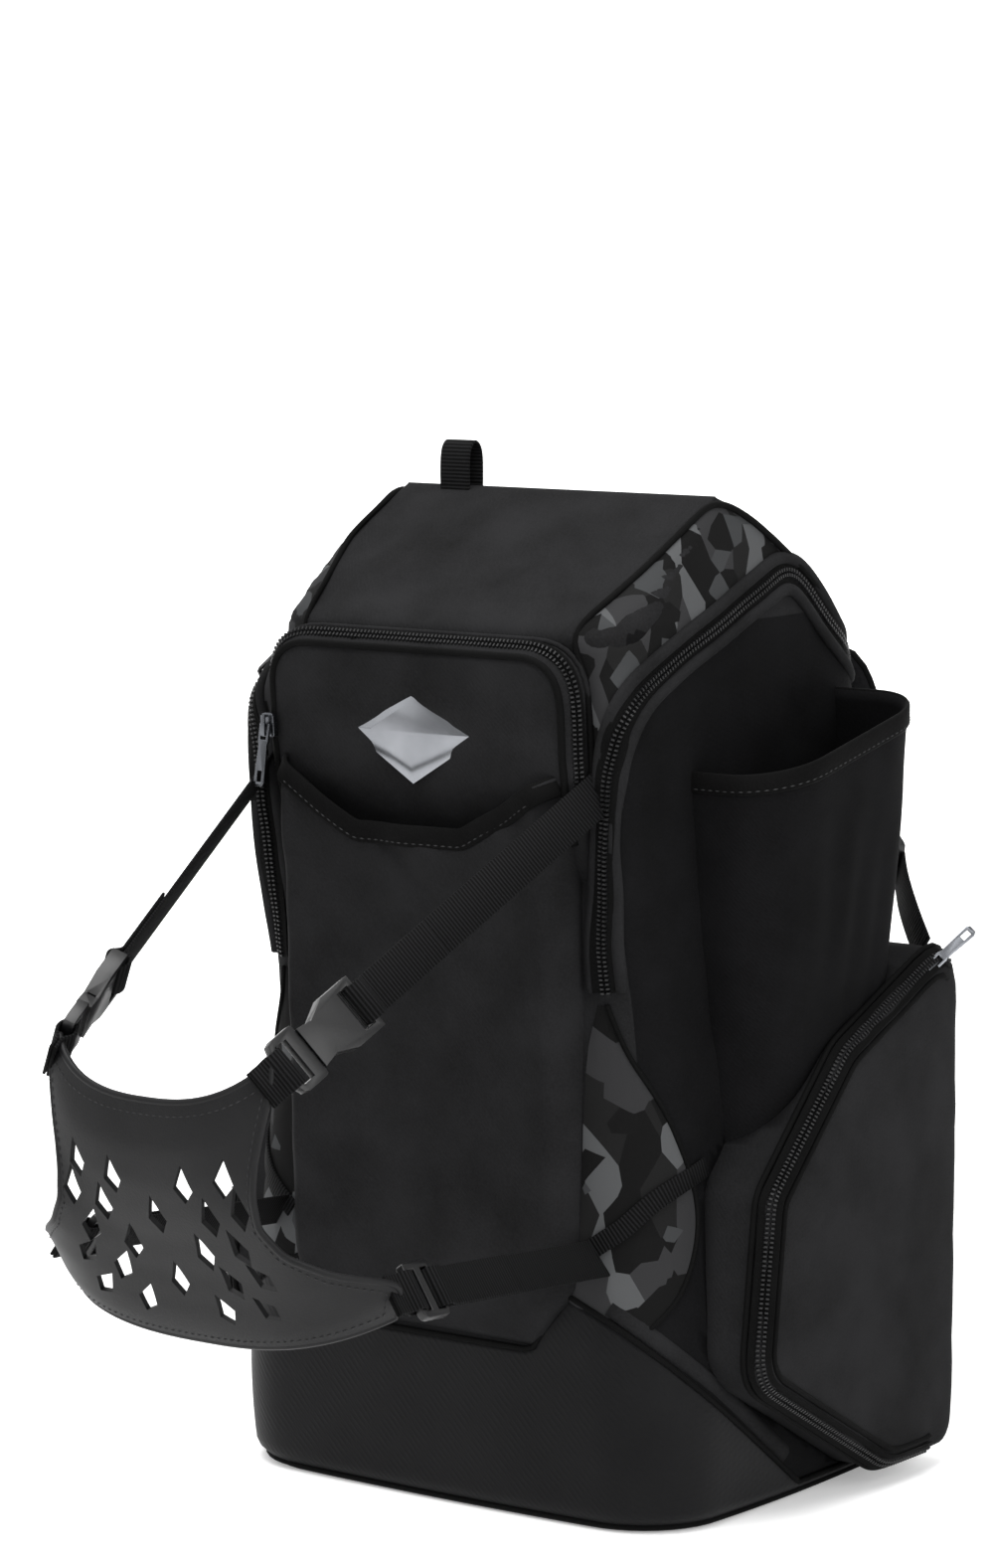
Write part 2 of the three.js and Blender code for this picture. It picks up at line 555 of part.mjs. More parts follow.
// The sling's outline in rows from its top edge to its bottom edge: the height in the middle and at the ends
// as shares of the rise and drop from the dome's middle, and the half angle that the row spans.
const SLING_ROWS = [
  { at: 0.0, middle: 0.3, end: 0.475, angle: 28 },
  { at: 0.1, middle: 0.19, end: 0.33, angle: 27.5 },
  { at: 0.24, middle: 0.04, end: 0.14, angle: 27 },
  { at: 0.38, middle: -0.12, end: 0.0, angle: 27.5 },
  { at: 0.52, middle: -0.29, end: -0.16, angle: 30 },
  { at: 0.66, middle: -0.46, end: -0.29, angle: 37 },
  { at: 0.78, middle: -0.6, end: -0.38, angle: 50 },
  { at: 0.88, middle: -0.7, end: -0.44, angle: 70 },
  { at: 1.0, middle: -0.81, end: -0.62, angle: 71 },
];
const SLING_COLUMNS = 18;
const SLING_LINES = 9;

const slingHeight = (share) => SLING_MIDDLE[2] + share * (share > 0 ? SLING_RISE : SLING_DROP);

// A point of the sling: u runs from -1 to 1 across it, and v from 0 at its top edge to 1 at its bottom edge.
function slingAt(u, v, offset) {
  const angle = THREE.MathUtils.degToRad(readTable(SLING_ROWS, "at", v, "angle")) * u;
  const middle = slingHeight(readTable(SLING_ROWS, "at", v, "middle"));
  const end = slingHeight(readTable(SLING_ROWS, "at", v, "end"));
  return slingPoint(angle, lerp(middle, end, Math.pow(Math.abs(u), 1.7)), offset);
}

// A sheet with thickness over the sling's grid; spare makes it that much larger all round.
function slingSheet(spare = 0) {
  const corners = [];
  const index = [];
  const spread = 1 + spare / SLING_HALF_WIDTH;
  for (const offset of [-spare, SLING_THICKNESS + spare]) {
    for (let r = 0; r <= SLING_LINES; r++) {
      for (let c = 0; c <= SLING_COLUMNS; c++) {
        const p = slingAt(lerp(-spread, spread, c / SLING_COLUMNS), r / SLING_LINES, offset);
        p.z += r === 0 ? spare : r === SLING_LINES ? -spare : 0;
        corners.push(p.x, p.y, p.z);
      }
    }
  }
  const across = SLING_COLUMNS + 1;
  const layer = across * (SLING_LINES + 1);
  const quad = (a, b, c, d) => index.push(a, b, c, a, c, d);
  for (let r = 0; r < SLING_LINES; r++) {
    for (let c = 0; c < SLING_COLUMNS; c++) {
      const a = r * across + c;
      quad(a, a + 1, a + 1 + across, a + across);
      quad(layer + a, layer + a + across, layer + a + 1 + across, layer + a + 1);
    }
  }
  const edge = [];
  for (let c = 0; c < SLING_COLUMNS; c++) edge.push(c);
  for (let r = 0; r < SLING_LINES; r++) edge.push(r * across + SLING_COLUMNS);
  for (let c = SLING_COLUMNS; c > 0; c--) edge.push(SLING_LINES * across + c);
  for (let r = SLING_LINES; r > 0; r--) edge.push(r * across);
  edge.forEach((a, i) => {
    const b = edge[(i + 1) % edge.length];
    quad(b, a, layer + a, layer + b);
  });
  const geometry = new THREE.BufferGeometry();
  geometry.setAttribute("position", new THREE.BufferAttribute(new Float32Array(corners), 3));
  const made = solid(geometry.setIndex(index));
  if (made.volume() > 0) return made;
  for (let i = 0; i < index.length; i += 3) [index[i + 1], index[i + 2]] = [index[i + 2], index[i + 1]];
  return solid(geometry.setIndex(index));
}

// Rows of kite-shaped holes: v down the sling, how many in the row, the spacing in u, and the half height in mm.
const SLING_HOLE_ROWS = [
  { v: 0.27, count: 4, spacing: 0.42, tall: 10 },
  { v: 0.41, count: 5, spacing: 0.4, tall: 11 },
  { v: 0.55, count: 4, spacing: 0.4, tall: 11 },
  { v: 0.68, count: 5, spacing: 0.3, tall: 10 },
  { v: 0.8, count: 4, spacing: 0.26, tall: 9 },
];
const HOLE_HALF_WIDTH = 5.5;

function slingHoles() {
  return SLING_HOLE_ROWS.flatMap((row) =>
    Array.from({ length: row.count }, (_, i) => {
      const u = (i - (row.count - 1) / 2) * row.spacing;
      const at = slingAt(u, row.v, SLING_THICKNESS / 2);
      const right = slingAt(u + 0.02, row.v, SLING_THICKNESS / 2).sub(at);
      const down = slingAt(u, row.v + 0.02, SLING_THICKNESS / 2).sub(at);
      const away = down.clone().cross(right);
      const shoulder = row.tall * 0.25;
      const kite = [[-row.tall, 0], [shoulder, -HOLE_HALF_WIDTH], [row.tall, 0], [shoulder, HOLE_HALF_WIDTH]];
      return placed(prism(kite, "z", -12, 12), frameAt(at, down, away));
    }));
}

function slingPanel() {
  return slingHoles().reduce((sheet, hole) => sheet.subtract(hole), slingSheet());
}

// Where the sling's corners are held, and where their straps leave the bag.
const cornerUpper = slingAt(1, 0.05, SLING_THICKNESS / 2);
const cornerLower = slingAt(1, 0.92, SLING_THICKNESS / 2);
const ANCHOR_UPPER = onBag([0, -1, 0.7347]).setX(POCKET_HALF_WIDTH + 8);
const ANCHOR_LOWER = onBag([0, -0.963, 0.2733]).setX(LOWER_HALF_WIDTH + 12);
const PLUG_LENGTH = 17;
const SOCKET_LENGTH = 38;
const LOCK_LENGTH = 20;
const LOOP_CLEAR = 0.6;
const STEM = 9;

// A side-release buckle: the plug with its two sprung arms and guide, and the socket that takes them.
const BAR = 3.2;
const WINDOW = 7;
const LOCK_BAR = 2.6;
const LOCK_THICKNESS = 4.4;
const ARM = { from: 5, to: 9, length: 21, thick: 1.6 };

function buckleMaker() {
  const half = BUCKLE_WIDTH / 2;
  const slot = SLING_STRAP_WIDTH / 2 + 0.8;
  const plugFrame = rounded([[0, -half], [PLUG_LENGTH, -half], [PLUG_LENGTH, half], [0, half]], [4, 2, 2, 4], 2);
  const window = [[BAR, -slot], [BAR + WINDOW, -slot], [BAR + WINDOW, slot], [BAR, slot]];
  const thick = BUCKLE_THICKNESS * 0.34;
  const start = PLUG_LENGTH + SEAM_GAP;
  const end = start + SOCKET_LENGTH;
  const arm = (low, high, length) =>
    box([PLUG_LENGTH - 1, low, -ARM.thick], [PLUG_LENGTH + length, high, ARM.thick]);
  const plug = prism(plugFrame, "z", -thick, thick, [window])
    .add(arm(-ARM.to, -ARM.from, ARM.length))
    .add(arm(ARM.from, ARM.to, ARM.length))
    .add(arm(-ARM.from * 0.4, ARM.from * 0.4, ARM.length * 0.8));
  const waist = half * 0.76;
  const outline = [
    [start, -waist], [start + 9, -waist * 0.86], [start + 20, -half], [end, -half],
    [end, half], [start + 20, half], [start + 9, waist * 0.86], [start, waist],
  ];
  const rear = [[end - BAR - WINDOW, -slot], [end - BAR, -slot], [end - BAR, slot], [end - BAR - WINDOW, slot]];
  const deep = BUCKLE_THICKNESS / 2;
  const mouth = ARM.to + LOOP_CLEAR;
  const low = [start - 1, -mouth, -ARM.thick - LOOP_CLEAR];
  const high = [start + ARM.length + 1, mouth, ARM.thick + LOOP_CLEAR];
  const socket = prism(outline, "z", -deep, deep, [rear]).subtract(box(low, high));
  return { plug, socket, length: end };
}

// A ladder lock with a bar at each end and a slot beside it.
function ladderLock() {
  const half = BUCKLE_WIDTH / 2;
  const slot = SLING_STRAP_WIDTH / 2 + 0.8;
  const frame = rounded([[0, -half], [LOCK_LENGTH, -half], [LOCK_LENGTH, half], [0, half]], [3, 3, 3, 3], 2);
  const windows = [LOCK_BAR, LOCK_LENGTH - LOCK_BAR - 5].map((from) =>
    [[from, -slot], [from + 5, -slot], [from + 5, slot], [from, slot]]);
  return prism(frame, "z", -LOCK_THICKNESS / 2, LOCK_THICKNESS / 2, windows);
}

// Webbing folded round a bar of a buckle: the bar spans x from 0 to bar and is deep thick each way.
// The doubled webbing leaves towards -x and ends after a stem.
function foldedLoop(bar, deep, width, stem) {
  const t = STRAP_THICKNESS;
  const level = deep + LOOP_CLEAR + t / 2;
  const far = bar + LOOP_CLEAR + t / 2;
  const route = [
    [-6, t * 0.5], [-2.5, level], [bar, level], [far, level - 1.2],
    [far, 1.2 - level], [bar, -level], [-2.5, -level], [-6, -t * 0.5],
  ];
  const loop = webbing(route.map(([x, z]) => vec(x, 0, z)), vec(0, 1, 0), width, t);
  return loop.add(box([-6 - stem, -width / 2, -t], [-5.6, width / 2, t]));
}

const turned = (made) => made.rotate([0, 0, 180]);
const anchorTrim = () => bodyGrown.add(pocketShape(-SEAM_GAP)).add(lowerShape(-SEAM_GAP));

// The upper sling straps, from the bag to the buckle, and the buckle itself.
function upperSling() {
  const along = ANCHOR_UPPER.clone().sub(cornerUpper).normalize();
  const frame = frameAt(cornerUpper.clone().addScaledVector(along, STEM), along, vec(0.8, -0.25, 0.45));
  const { plug, socket, length } = buckleMaker();
  const tab = foldedLoop(BAR, BUCKLE_THICKNESS * 0.34, SLING_STRAP_WIDTH, STEM);
  const reach = ANCHOR_UPPER.distanceTo(cornerUpper) - STEM - length;
  const strap = turned(foldedLoop(BAR, BUCKLE_THICKNESS / 2, SLING_STRAP_WIDTH, reach)).translate([length, 0, 0]);
  return {
    plug: placed(plug, frame),
    socket: placed(socket, frame),
    tab: largest(placed(tab, frame).subtract(slingSheet(2 * SEAM_GAP))),
    strap: largest(placed(strap, frame).subtract(anchorTrim()).subtract(mainZip(SEAM_GAP))),
  };
}

function lowerSling() {
  const along = ANCHOR_LOWER.clone().sub(cornerLower).normalize();
  const frame = frameAt(cornerLower.clone().addScaledVector(along, STEM), along, vec(0.75, -0.3, 0.55));
  const tab = foldedLoop(LOCK_BAR, LOCK_THICKNESS / 2, SLING_STRAP_WIDTH, STEM);
  const reach = ANCHOR_LOWER.distanceTo(cornerLower) - STEM - LOCK_LENGTH;
  const folded = foldedLoop(LOCK_BAR, LOCK_THICKNESS / 2, SLING_STRAP_WIDTH, reach);
  const strap = turned(folded).translate([LOCK_LENGTH, 0, 0]);
  return {
    lock: placed(ladderLock(), frame),
    tab: largest(placed(tab, frame).subtract(slingSheet(2 * SEAM_GAP))),
    strap: largest(placed(strap, frame).subtract(anchorTrim())),
  };
}

// Shoulder strap routes, as points chosen by eye for the right side; the left side mirrors them.
const SHOULDER_ROUTE = [
  [0.3239, 0.9074, 0.7802], [0.3521, 1.0833, 0.7921], [0.3944, 1.213, 0.8059], [0.4507, 1.3148, 0.7941],
  [0.507, 1.3519, 0.7604], [0.5915, 1.3611, 0.697], [0.6549, 1.3704, 0.6535], [0.7113, 1.3704, 0.6178],
];
const WEBBING_ROUTE = routeOf([
  [0.7113, 1.3704, 0.6178], [0.9014, 1.2222, 0.5822], [1.0704, 1.0926, 0.5505], [1.1268, 1.0278, 0.5347],
]);

const smoothLine = (points, steps) => new THREE.CatmullRomCurve3(points).getPoints(steps);

// The adjuster's place at the strap's padded end, where the webbing starts.
function adjusterFrame() {
  const [end, next] = WEBBING_ROUTE;
  const along = next.clone().sub(end).normalize();
  return frameAt(end.clone().addScaledVector(along, -SHOULDER_THICKNESS * 0.3), along, vec(0.2, 1, 0.2));
}

function shoulderStrap() {
  const route = smoothLine(routeOf(SHOULDER_ROUTE), 18);
  const half = BUCKLE_WIDTH / 2 + SEAM_GAP;
  const deep = LOCK_THICKNESS / 2 + SEAM_GAP;
  const room = box([-SEAM_GAP, -half, -deep], [LOCK_LENGTH + 1, half, deep]);
  const made = webbing(route, vec(1, 0.08, 0.05), SHOULDER_WIDTH, SHOULDER_THICKNESS);
  const clear = made.subtract(bodyGrown).subtract(backPadBlock(-SEAM_GAP)).subtract(mainZip(SEAM_GAP));
  return largest(clear.subtract(placed(room, adjusterFrame())));
}

function strapWebbing() {
  const frame = adjusterFrame();
  const across = vec(0, 1, 0).transformDirection(frame);
  const route = [...WEBBING_ROUTE];
  route[0] = vec(LOCK_LENGTH + LOOP_CLEAR, 0, 0).applyMatrix4(frame);
  const made = webbing(route, across, SLING_STRAP_WIDTH, STRAP_THICKNESS);
  const clear = made.subtract(bodyGrown).subtract(backPadBlock(-SEAM_GAP));
  return largest(clear.subtract(sidePocketSolid(0, WELL_HALF_WIDTH)));
}

// The hanging loop on the ridge.
function hangingLoop() {
  const foot = BAG_HEIGHT - 12;
  const middle = -0.18 * BASE_HALF_DEPTH;
  const rows = [
    [middle - 5, foot], [middle - 7, foot + 18], [middle - 6, foot + 32], [middle, foot + 37],
    [middle + 7, foot + 32], [middle + 8, foot + 18], [middle + 6, foot - 4],
  ];
  const route = smoothLine(rows.map(([y, z]) => vec(HANGING_LOOP_X, y, z)), 16);
  return webbing(route, vec(1, 0, 0), HANGING_LOOP_WIDTH, STRAP_THICKNESS).subtract(bodyGrown);
}

// The nearest point of the bag's outline at the height of a rough point, with the outward direction there.
function onBody(rough, lift) {
  const outline = bodyOutline(rough.z, 0);
  let best = null;
  outline.forEach((from, i) => {
    const to = outline[(i + 1) % outline.length];
    const edge = [to[0] - from[0], to[1] - from[1]];
    const length = Math.hypot(edge[0], edge[1]);
    const along = ((rough.x - from[0]) * edge[0] + (rough.y - from[1]) * edge[1]) / (length * length);
    const t = THREE.MathUtils.clamp(along, 0, 1);
    const point = vec(from[0] + edge[0] * t, from[1] + edge[1] * t, rough.z);
    const distance = point.distanceTo(rough);
    if (!best || distance < best.distance) best = { point, distance, away: vec(edge[1], -edge[0], 0).normalize() };
  });
  best.point.addScaledVector(best.away, lift);
  return best;
}

// Where a route of rough points lies on the bag, with the ways along it, across it and out of the bag.
function seatsOf(route) {
  const seats = route.map((rough) => onBody(rough, 0));
  return seats.map((seat, i) => {
    const before = seats[Math.max(i - 1, 0)];
    const after = seats[Math.min(i + 1, seats.length - 1)];
    const along = after.point.clone().sub(before.point).normalize();
    const away = before.away.clone().add(seat.away).add(after.away);
    away.addScaledVector(along, -away.dot(along)).normalize();
    return { point: seat.point, along, away, across: away.clone().cross(along) };
  });
}

// A strip laid on the bag along a route of rough points: it stands up from the surface by a thickness.
function surfaceStrip(route, width, thickness, sink = 6) {
  const rings = seatsOf(route).map(({ point, across, away }) => {
    const corner = (a, b) => point.clone().addScaledVector(across, a * width * 0.5).addScaledVector(away, b);
    return [corner(-1, -sink), corner(1, -sink), corner(1, thickness), corner(-1, thickness)];
  });
  return loft(rings).subtract(bodyGrown);
}

// Zips. The route is a short list of rough points on the bag's right side, as the zip is seen to run.
const MAIN_ZIP_ROUTE = [
  [0.7324, -1.037, 0.5307], [0.7324, -1.0463, 0.6337], [0.7254, -1.0463, 0.7287],
  [0.7465, -1.0185, 0.7564], [0.7887, -0.9444, 0.7782], [0.8239, -0.8611, 0.8],
  [0.8451, -0.7593, 0.8218], [0.8451, -0.463, 0.8733], [0.8451, -0.1296, 0.9168],
  [0.8451, 0, 0.9248], [0.8451, 0.1296, 0.9228], [0.8451, 0.3704, 0.895], [0.8451, 0.5741, 0.8614],
  [0.8451, 0.7037, 0.8436], [0.8239, 0.8148, 0.8337], [0.7887, 0.8981, 0.8257],
  [0.7394, 0.963, 0.8198], [0.6761, 1.0185, 0.8158], [0.5634, 1.0185, 0.8139],
  [-0.0035, 1.0185, 0.8139],
];
// The main slider sits on the straight piece of zip that starts this share of the route's points along it.
const MAIN_SLIDER_SHARE = 0.3;

// The zip over the top of the bag, from one front corner to the other; spare makes it larger all round.
function mainZip(spare = 0) {
  const half = routeOf(MAIN_ZIP_ROUTE);
  const strip = surfaceStrip(half, ZIP_WIDTH + 2 * spare, ZIP_THICKNESS + spare).subtract(anchorTrim());
  return largest(strip.add(mirrored(strip)));
}

// Points of the zip round the side pocket's puffed edge, with the way out from the pocket at each.
function sidePocketSeam() {
  const count = SIDE_POCKET_OUTLINE.length * (OUTLINE_STEPS + 1);
  const [, low, high] = POCKET_PUFF;
  const ringAt = (row) =>
    pocketRing(SIDE_POCKET_REACH - SEAM_GAP - row.back * SIDE_POCKET_ROUND, SEAM_GAP + row.in * SIDE_POCKET_ROUND);
  const inner = ringAt(low);
  const outer = ringAt(high);
  const first = 3 * (OUTLINE_STEPS + 1) + 1;
  const last = count + (OUTLINE_STEPS + 1) + 2;
  const seam = [];
  for (let i = first; i <= last; i++) {
    const a = inner[i % count];
    const b = outer[i % count];
    const along = inner[(i + 1) % count].clone().sub(inner[(i + count - 1) % count]).normalize();
    const across = b.clone().sub(a).normalize();
    const away = across.clone().cross(along);
    if (away.x < 0) away.negate();
    seam.push({ point: a.clone().add(b).multiplyScalar(0.5), across, away: away.normalize() });
  }
  return seam;
}

function sideZip() {
  const seam = sidePocketSeam();
  const lift = SEAM_GAP + ZIP_THICKNESS / 2;
  const route = seam.map((row) => row.point.clone().addScaledVector(row.away, lift));
  const tape = webbing(route, seam.map((row) => row.across), ZIP_WIDTH, ZIP_THICKNESS);
  const clear = tape.subtract(sidePocketSolid(0, WELL_HALF_WIDTH)).subtract(bodyGrown);
  return largest(clear.subtract(sleeveSolid(-SEAM_GAP)));
}

// The upper pocket's zip runs up its left side, over its top and down its right side.
function pocketZip() {
  const outer = pocketShape(-ZIP_THICKNESS);
  const far = 2 * BAG_HEIGHT;
  const bandTo = (distance, low, high) => {
    const outline = rounded(inset(pocketCornersFront(), distance), [low, low, high, high], OUTLINE_STEPS + 1);
    return prism(outline, "y", -far, TRAY_BACK);
  };
  const frontBand = bandTo(3, 8, POCKET_ROUND);
  const insideBand = bandTo(3 + ZIP_WIDTH, 4, POCKET_ROUND - 10);
  const above = box([-far, -far, ZIP_FOOT], [far, TRAY_BACK, far]);
  const behind = box([-far, frontFace((POCKET_TOP + ZIP_FOOT) / 2) - 2, 0], [far, TRAY_BACK, far]);
  return largest(outer.intersect(frontBand).subtract(insideBand).intersect(above)
    .subtract(behind).subtract(pocketShape(-SEAM_GAP)).subtract(bodyGrown));
}

// Slider with its bridge, and the pull whose end bar lies under the bridge.
const SLIDER = { length: 12, width: 9, height: 3.4 };
const BRIDGE = { half: 5.2, post: 1.2, width: 2.4, clear: 2.8, thick: 1.2 };
const PULL_AXIS = SLIDER.height + 1.5;

function sliderSolid() {
  const halfLength = SLIDER.length / 2;
  const halfWidth = SLIDER.width / 2;
  const body = prism(rounded(
    [[-halfLength, -halfWidth * 0.8], [halfLength, -halfWidth],
      [halfLength, halfWidth], [-halfLength, halfWidth * 0.8]],
    [2, 1, 1, 2], 2), "z", 0, SLIDER.height);
  const top = SLIDER.height + BRIDGE.clear;
  const post = (from) =>
    box([from, -BRIDGE.width / 2, SLIDER.height - 0.5], [from + BRIDGE.post, BRIDGE.width / 2, top + BRIDGE.thick]);
  const bar = box([-BRIDGE.half, -BRIDGE.width / 2, top], [BRIDGE.half, BRIDGE.width / 2, top + BRIDGE.thick]);
  return body.add(post(-BRIDGE.half)).add(post(BRIDGE.half - BRIDGE.post)).add(bar);
}

function pullSolid(length) {
  const outline = [
    [-0.8, -3.1], [8.6, -3.1], [10, -2.5], [length - 2, -3.2], [length, -2], [length, 2],
    [length - 2, 3.2], [10, 2.5], [8.6, 3.1], [-0.8, 3.1],
  ];
  const window = [[0.8, -1.8], [7.4, -1.8], [7.4, 1.8], [0.8, 1.8]];
  const eye = [[length - 8, -1.4], [length - 2.4, -1.4], [length - 2.4, 1.4], [length - 8, 1.4]];
  return prism(outline, "z", PULL_AXIS - PULL_THICKNESS / 2, PULL_AXIS + PULL_THICKNESS / 2, [window, eye]);
}

// Where sliders sit: their place, the way their pulls point, the way out of the bag and how far the pull is raised.
function sliderSeats() {
  const seam = sidePocketSeam();
  const [end, next] = [seam[1], seam[2]];
  const side = {
    name: "side",
    point: end.point.clone().addScaledVector(end.away, 2 * SEAM_GAP + ZIP_THICKNESS),
    along: end.point.clone().sub(next.point),
    away: end.away,
    lift: 28,
  };
  const mainSeats = seatsOf(routeOf(MAIN_ZIP_ROUTE));
  const start = Math.floor(mainSeats.length * MAIN_SLIDER_SHARE);
  const [low, high] = mainSeats.slice(start, start + 2);
  const flip = vec(-1, 1, 1);
  const mainPoint = low.point.clone().add(high.point).multiplyScalar(0.5).multiply(flip);
  const mainAlong = low.point.clone().sub(high.point).normalize().multiply(flip);
  const mainAway = low.away.clone().add(high.away).normalize().multiply(flip);
  mainPoint.addScaledVector(mainAway, ZIP_THICKNESS + SEAM_GAP);
  const pocketY = frontFace(ZIP_FOOT) - POCKET_DEPTH - ZIP_THICKNESS - 3 * SEAM_GAP;
  return {
    side,
    main: { point: mainPoint, along: mainAlong, away: mainAway, lift: 12 },
    pocket: {
      point: vec(-POCKET_HALF_WIDTH + 7.5, pocketY, ZIP_FOOT + 8),
      along: vec(0, 0, -1),
      away: vec(0, -1, 0),
      lift: 10,
    },
  };
}

function sliderWithPull(seat) {
  const frame = frameAt(seat.point, seat.along, seat.away);
  const pull = pullSolid(PULL_LENGTH)
    .translate([0, 0, -PULL_AXIS]).rotate([0, -seat.lift, 0]).translate([0, 0, PULL_AXIS]);
  return { slider: placed(sliderSolid(), frame), pull: placed(pull, frame) };
}

// A narrow strap across the front corner, above the boot.
const CORNER_STRAP_ROUTE = [
  [0.7817, -0.9722, 0.303], [0.8592, -0.8704, 0.3287], [0.9155, -0.7407, 0.3446], [0.9437, -0.5741, 0.3564],
];

function cornerStrap() {
  return largest(surfaceStrip(routeOf(CORNER_STRAP_ROUTE), 10, STRAP_THICKNESS).subtract(anchorTrim()));
}

// The badge on the upper pocket: a flat-backed faceted diamond.
const BADGE = { x: 0, z: 0.77624 * BAG_HEIGHT, halfWidth: 42, halfHeight: 26, edge: 1.2, rise: 3.6 };

function badge() {
  const seat = frontFace(BADGE.z) - POCKET_DEPTH;
  const ring = (share, y) => [[-1, 0], [0, -1], [1, 0], [0, 1]].map(([a, b]) =>
    vec(BADGE.x + a * BADGE.halfWidth * share, y, BADGE.z + b * BADGE.halfHeight * share));
  const top = seat - BADGE.rise;
  const made = loft([ring(1, seat + 6), ring(1, seat - BADGE.edge), ring(0.6, top), ring(0.3, top)]);
  return largest(made.subtract(pocketShape(-SEAM_GAP)));
}

const root = new THREE.Group();

function part(name, made, material) {
  const mesh = new THREE.Mesh(geometryOf(made), material.clone());
  mesh.name = name;
  root.add(mesh);
}

// A part on the right side and its mirror on the left.
function pair(name, made, material) {
  part(name + "_right", made, material);
  part(name + "_left", mirrored(made), material);
}

function addBag() {
  part("main_body", mainBody(), FABRIC);
  part("base_boot", baseBoot(), COATED);
  part("front_pocket", frontPocket(), FABRIC);
  part("lower_front_pocket", lowerFrontPocket(), FABRIC);
  part("back_pad", backPad(), AIR_MESH);
  pair("side_pocket", sidePocket(), FABRIC);
  pair("bat_sleeve", batSleeve(), NEOPRENE);
  part("hanging_loop", hangingLoop(), WEBBING);
  part("badge", badge(), CHROME);
  pair("corner_strap", cornerStrap(), WEBBING);
}

function addShoulderStraps() {
  pair("shoulder_strap", shoulderStrap(), AIR_MESH);
  pair("strap_adjuster", placed(ladderLock(), adjusterFrame()), ACETAL);
  pair("strap_webbing", strapWebbing(), WEBBING);
}

function addSling() {
  part("sling_panel", slingPanel(), SLING_CLOTH);
  const upper = upperSling();
  pair("buckle_plug", upper.plug, ACETAL);
  pair("buckle_socket", upper.socket, ACETAL);
  pair("sling_tab_upper", upper.tab, WEBBING);
  pair("sling_strap_upper", upper.strap, WEBBING);
  const lower = lowerSling();
  pair("sling_lock", lower.lock, ACETAL);
  pair("sling_tab_lower", lower.tab, WEBBING);
  pair("sling_strap_lower", lower.strap, WEBBING);
}

function addZips() {
  const seats = sliderSeats();
  const side = sliderWithPull(seats.side);
  const main = sliderWithPull(seats.main);
  const pocket = sliderWithPull(seats.pocket);
  part("main_zip", mainZip(), ZIP_COIL);
  part("pocket_zip", pocketZip(), ZIP_COIL);
  pair("side_zip", sideZip(), ZIP_COIL);
  pair("side_slider", side.slider, GUNMETAL);
  pair("side_pull", side.pull, GUNMETAL);
  part("main_slider", main.slider, ZIP_COIL);
  part("main_pull", main.pull, ZIP_COIL);
  part("pocket_slider", pocket.slider, GUNMETAL);
  part("pocket_pull", pocket.pull, GUNMETAL);
}

addBag();
addShoulderStraps();
addSling();
addZips();

export default root;
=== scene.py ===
# %% [markdown]
# # A sports backpack, dressed
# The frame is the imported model: it says where every piece is and which body it rides on. This lesson
# builds the cloth, webbing, zips and metal that a person sees, piece by piece, inside the room that the
# frame gives them. Sizes are written in millimetres, as a pattern cutter would, and turned to metres
# when a mesh is made.

# %% Load the frame
import json
import math

import bmesh
import bpy
import numpy as np
from mathutils import Matrix, Vector, noise
from mathutils.bvhtree import BVHTree

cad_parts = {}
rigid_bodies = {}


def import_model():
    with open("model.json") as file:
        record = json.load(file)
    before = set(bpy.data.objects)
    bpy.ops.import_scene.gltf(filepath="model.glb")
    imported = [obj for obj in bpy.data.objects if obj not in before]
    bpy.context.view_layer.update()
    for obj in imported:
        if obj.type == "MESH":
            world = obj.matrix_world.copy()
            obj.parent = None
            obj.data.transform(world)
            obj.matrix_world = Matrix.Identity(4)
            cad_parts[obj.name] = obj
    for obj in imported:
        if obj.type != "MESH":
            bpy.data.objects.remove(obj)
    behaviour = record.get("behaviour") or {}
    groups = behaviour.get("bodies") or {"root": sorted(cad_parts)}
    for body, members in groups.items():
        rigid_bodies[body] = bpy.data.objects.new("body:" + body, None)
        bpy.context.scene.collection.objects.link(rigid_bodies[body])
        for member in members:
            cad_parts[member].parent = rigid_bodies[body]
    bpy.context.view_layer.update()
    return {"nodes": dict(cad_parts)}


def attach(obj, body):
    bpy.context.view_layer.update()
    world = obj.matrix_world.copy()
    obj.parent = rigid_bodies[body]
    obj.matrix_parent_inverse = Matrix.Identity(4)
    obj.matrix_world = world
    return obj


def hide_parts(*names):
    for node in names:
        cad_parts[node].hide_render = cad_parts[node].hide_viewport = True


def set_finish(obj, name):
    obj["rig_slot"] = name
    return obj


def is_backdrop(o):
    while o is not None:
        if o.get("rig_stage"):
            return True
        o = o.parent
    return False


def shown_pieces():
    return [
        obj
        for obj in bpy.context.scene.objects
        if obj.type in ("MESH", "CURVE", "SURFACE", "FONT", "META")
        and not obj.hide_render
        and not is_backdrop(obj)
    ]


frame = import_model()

MM = 0.001
made = {}

# %% [markdown]
# ## Materials
# Each finish is named for what it is. Colours are written as hex values, as a paint or dye chart gives
# them, and one function turns them to the linear numbers that a shader wants. One more function adds a
# node.

# %% Colour and node helpers
def linear(code):
    parts = [int(code[i:i + 2], 16) / 255 for i in (1, 3, 5)]
    return [p / 12.92 if p <= 0.04045 else ((p + 0.055) / 1.055) ** 2.4 for p in parts] + [1.0]


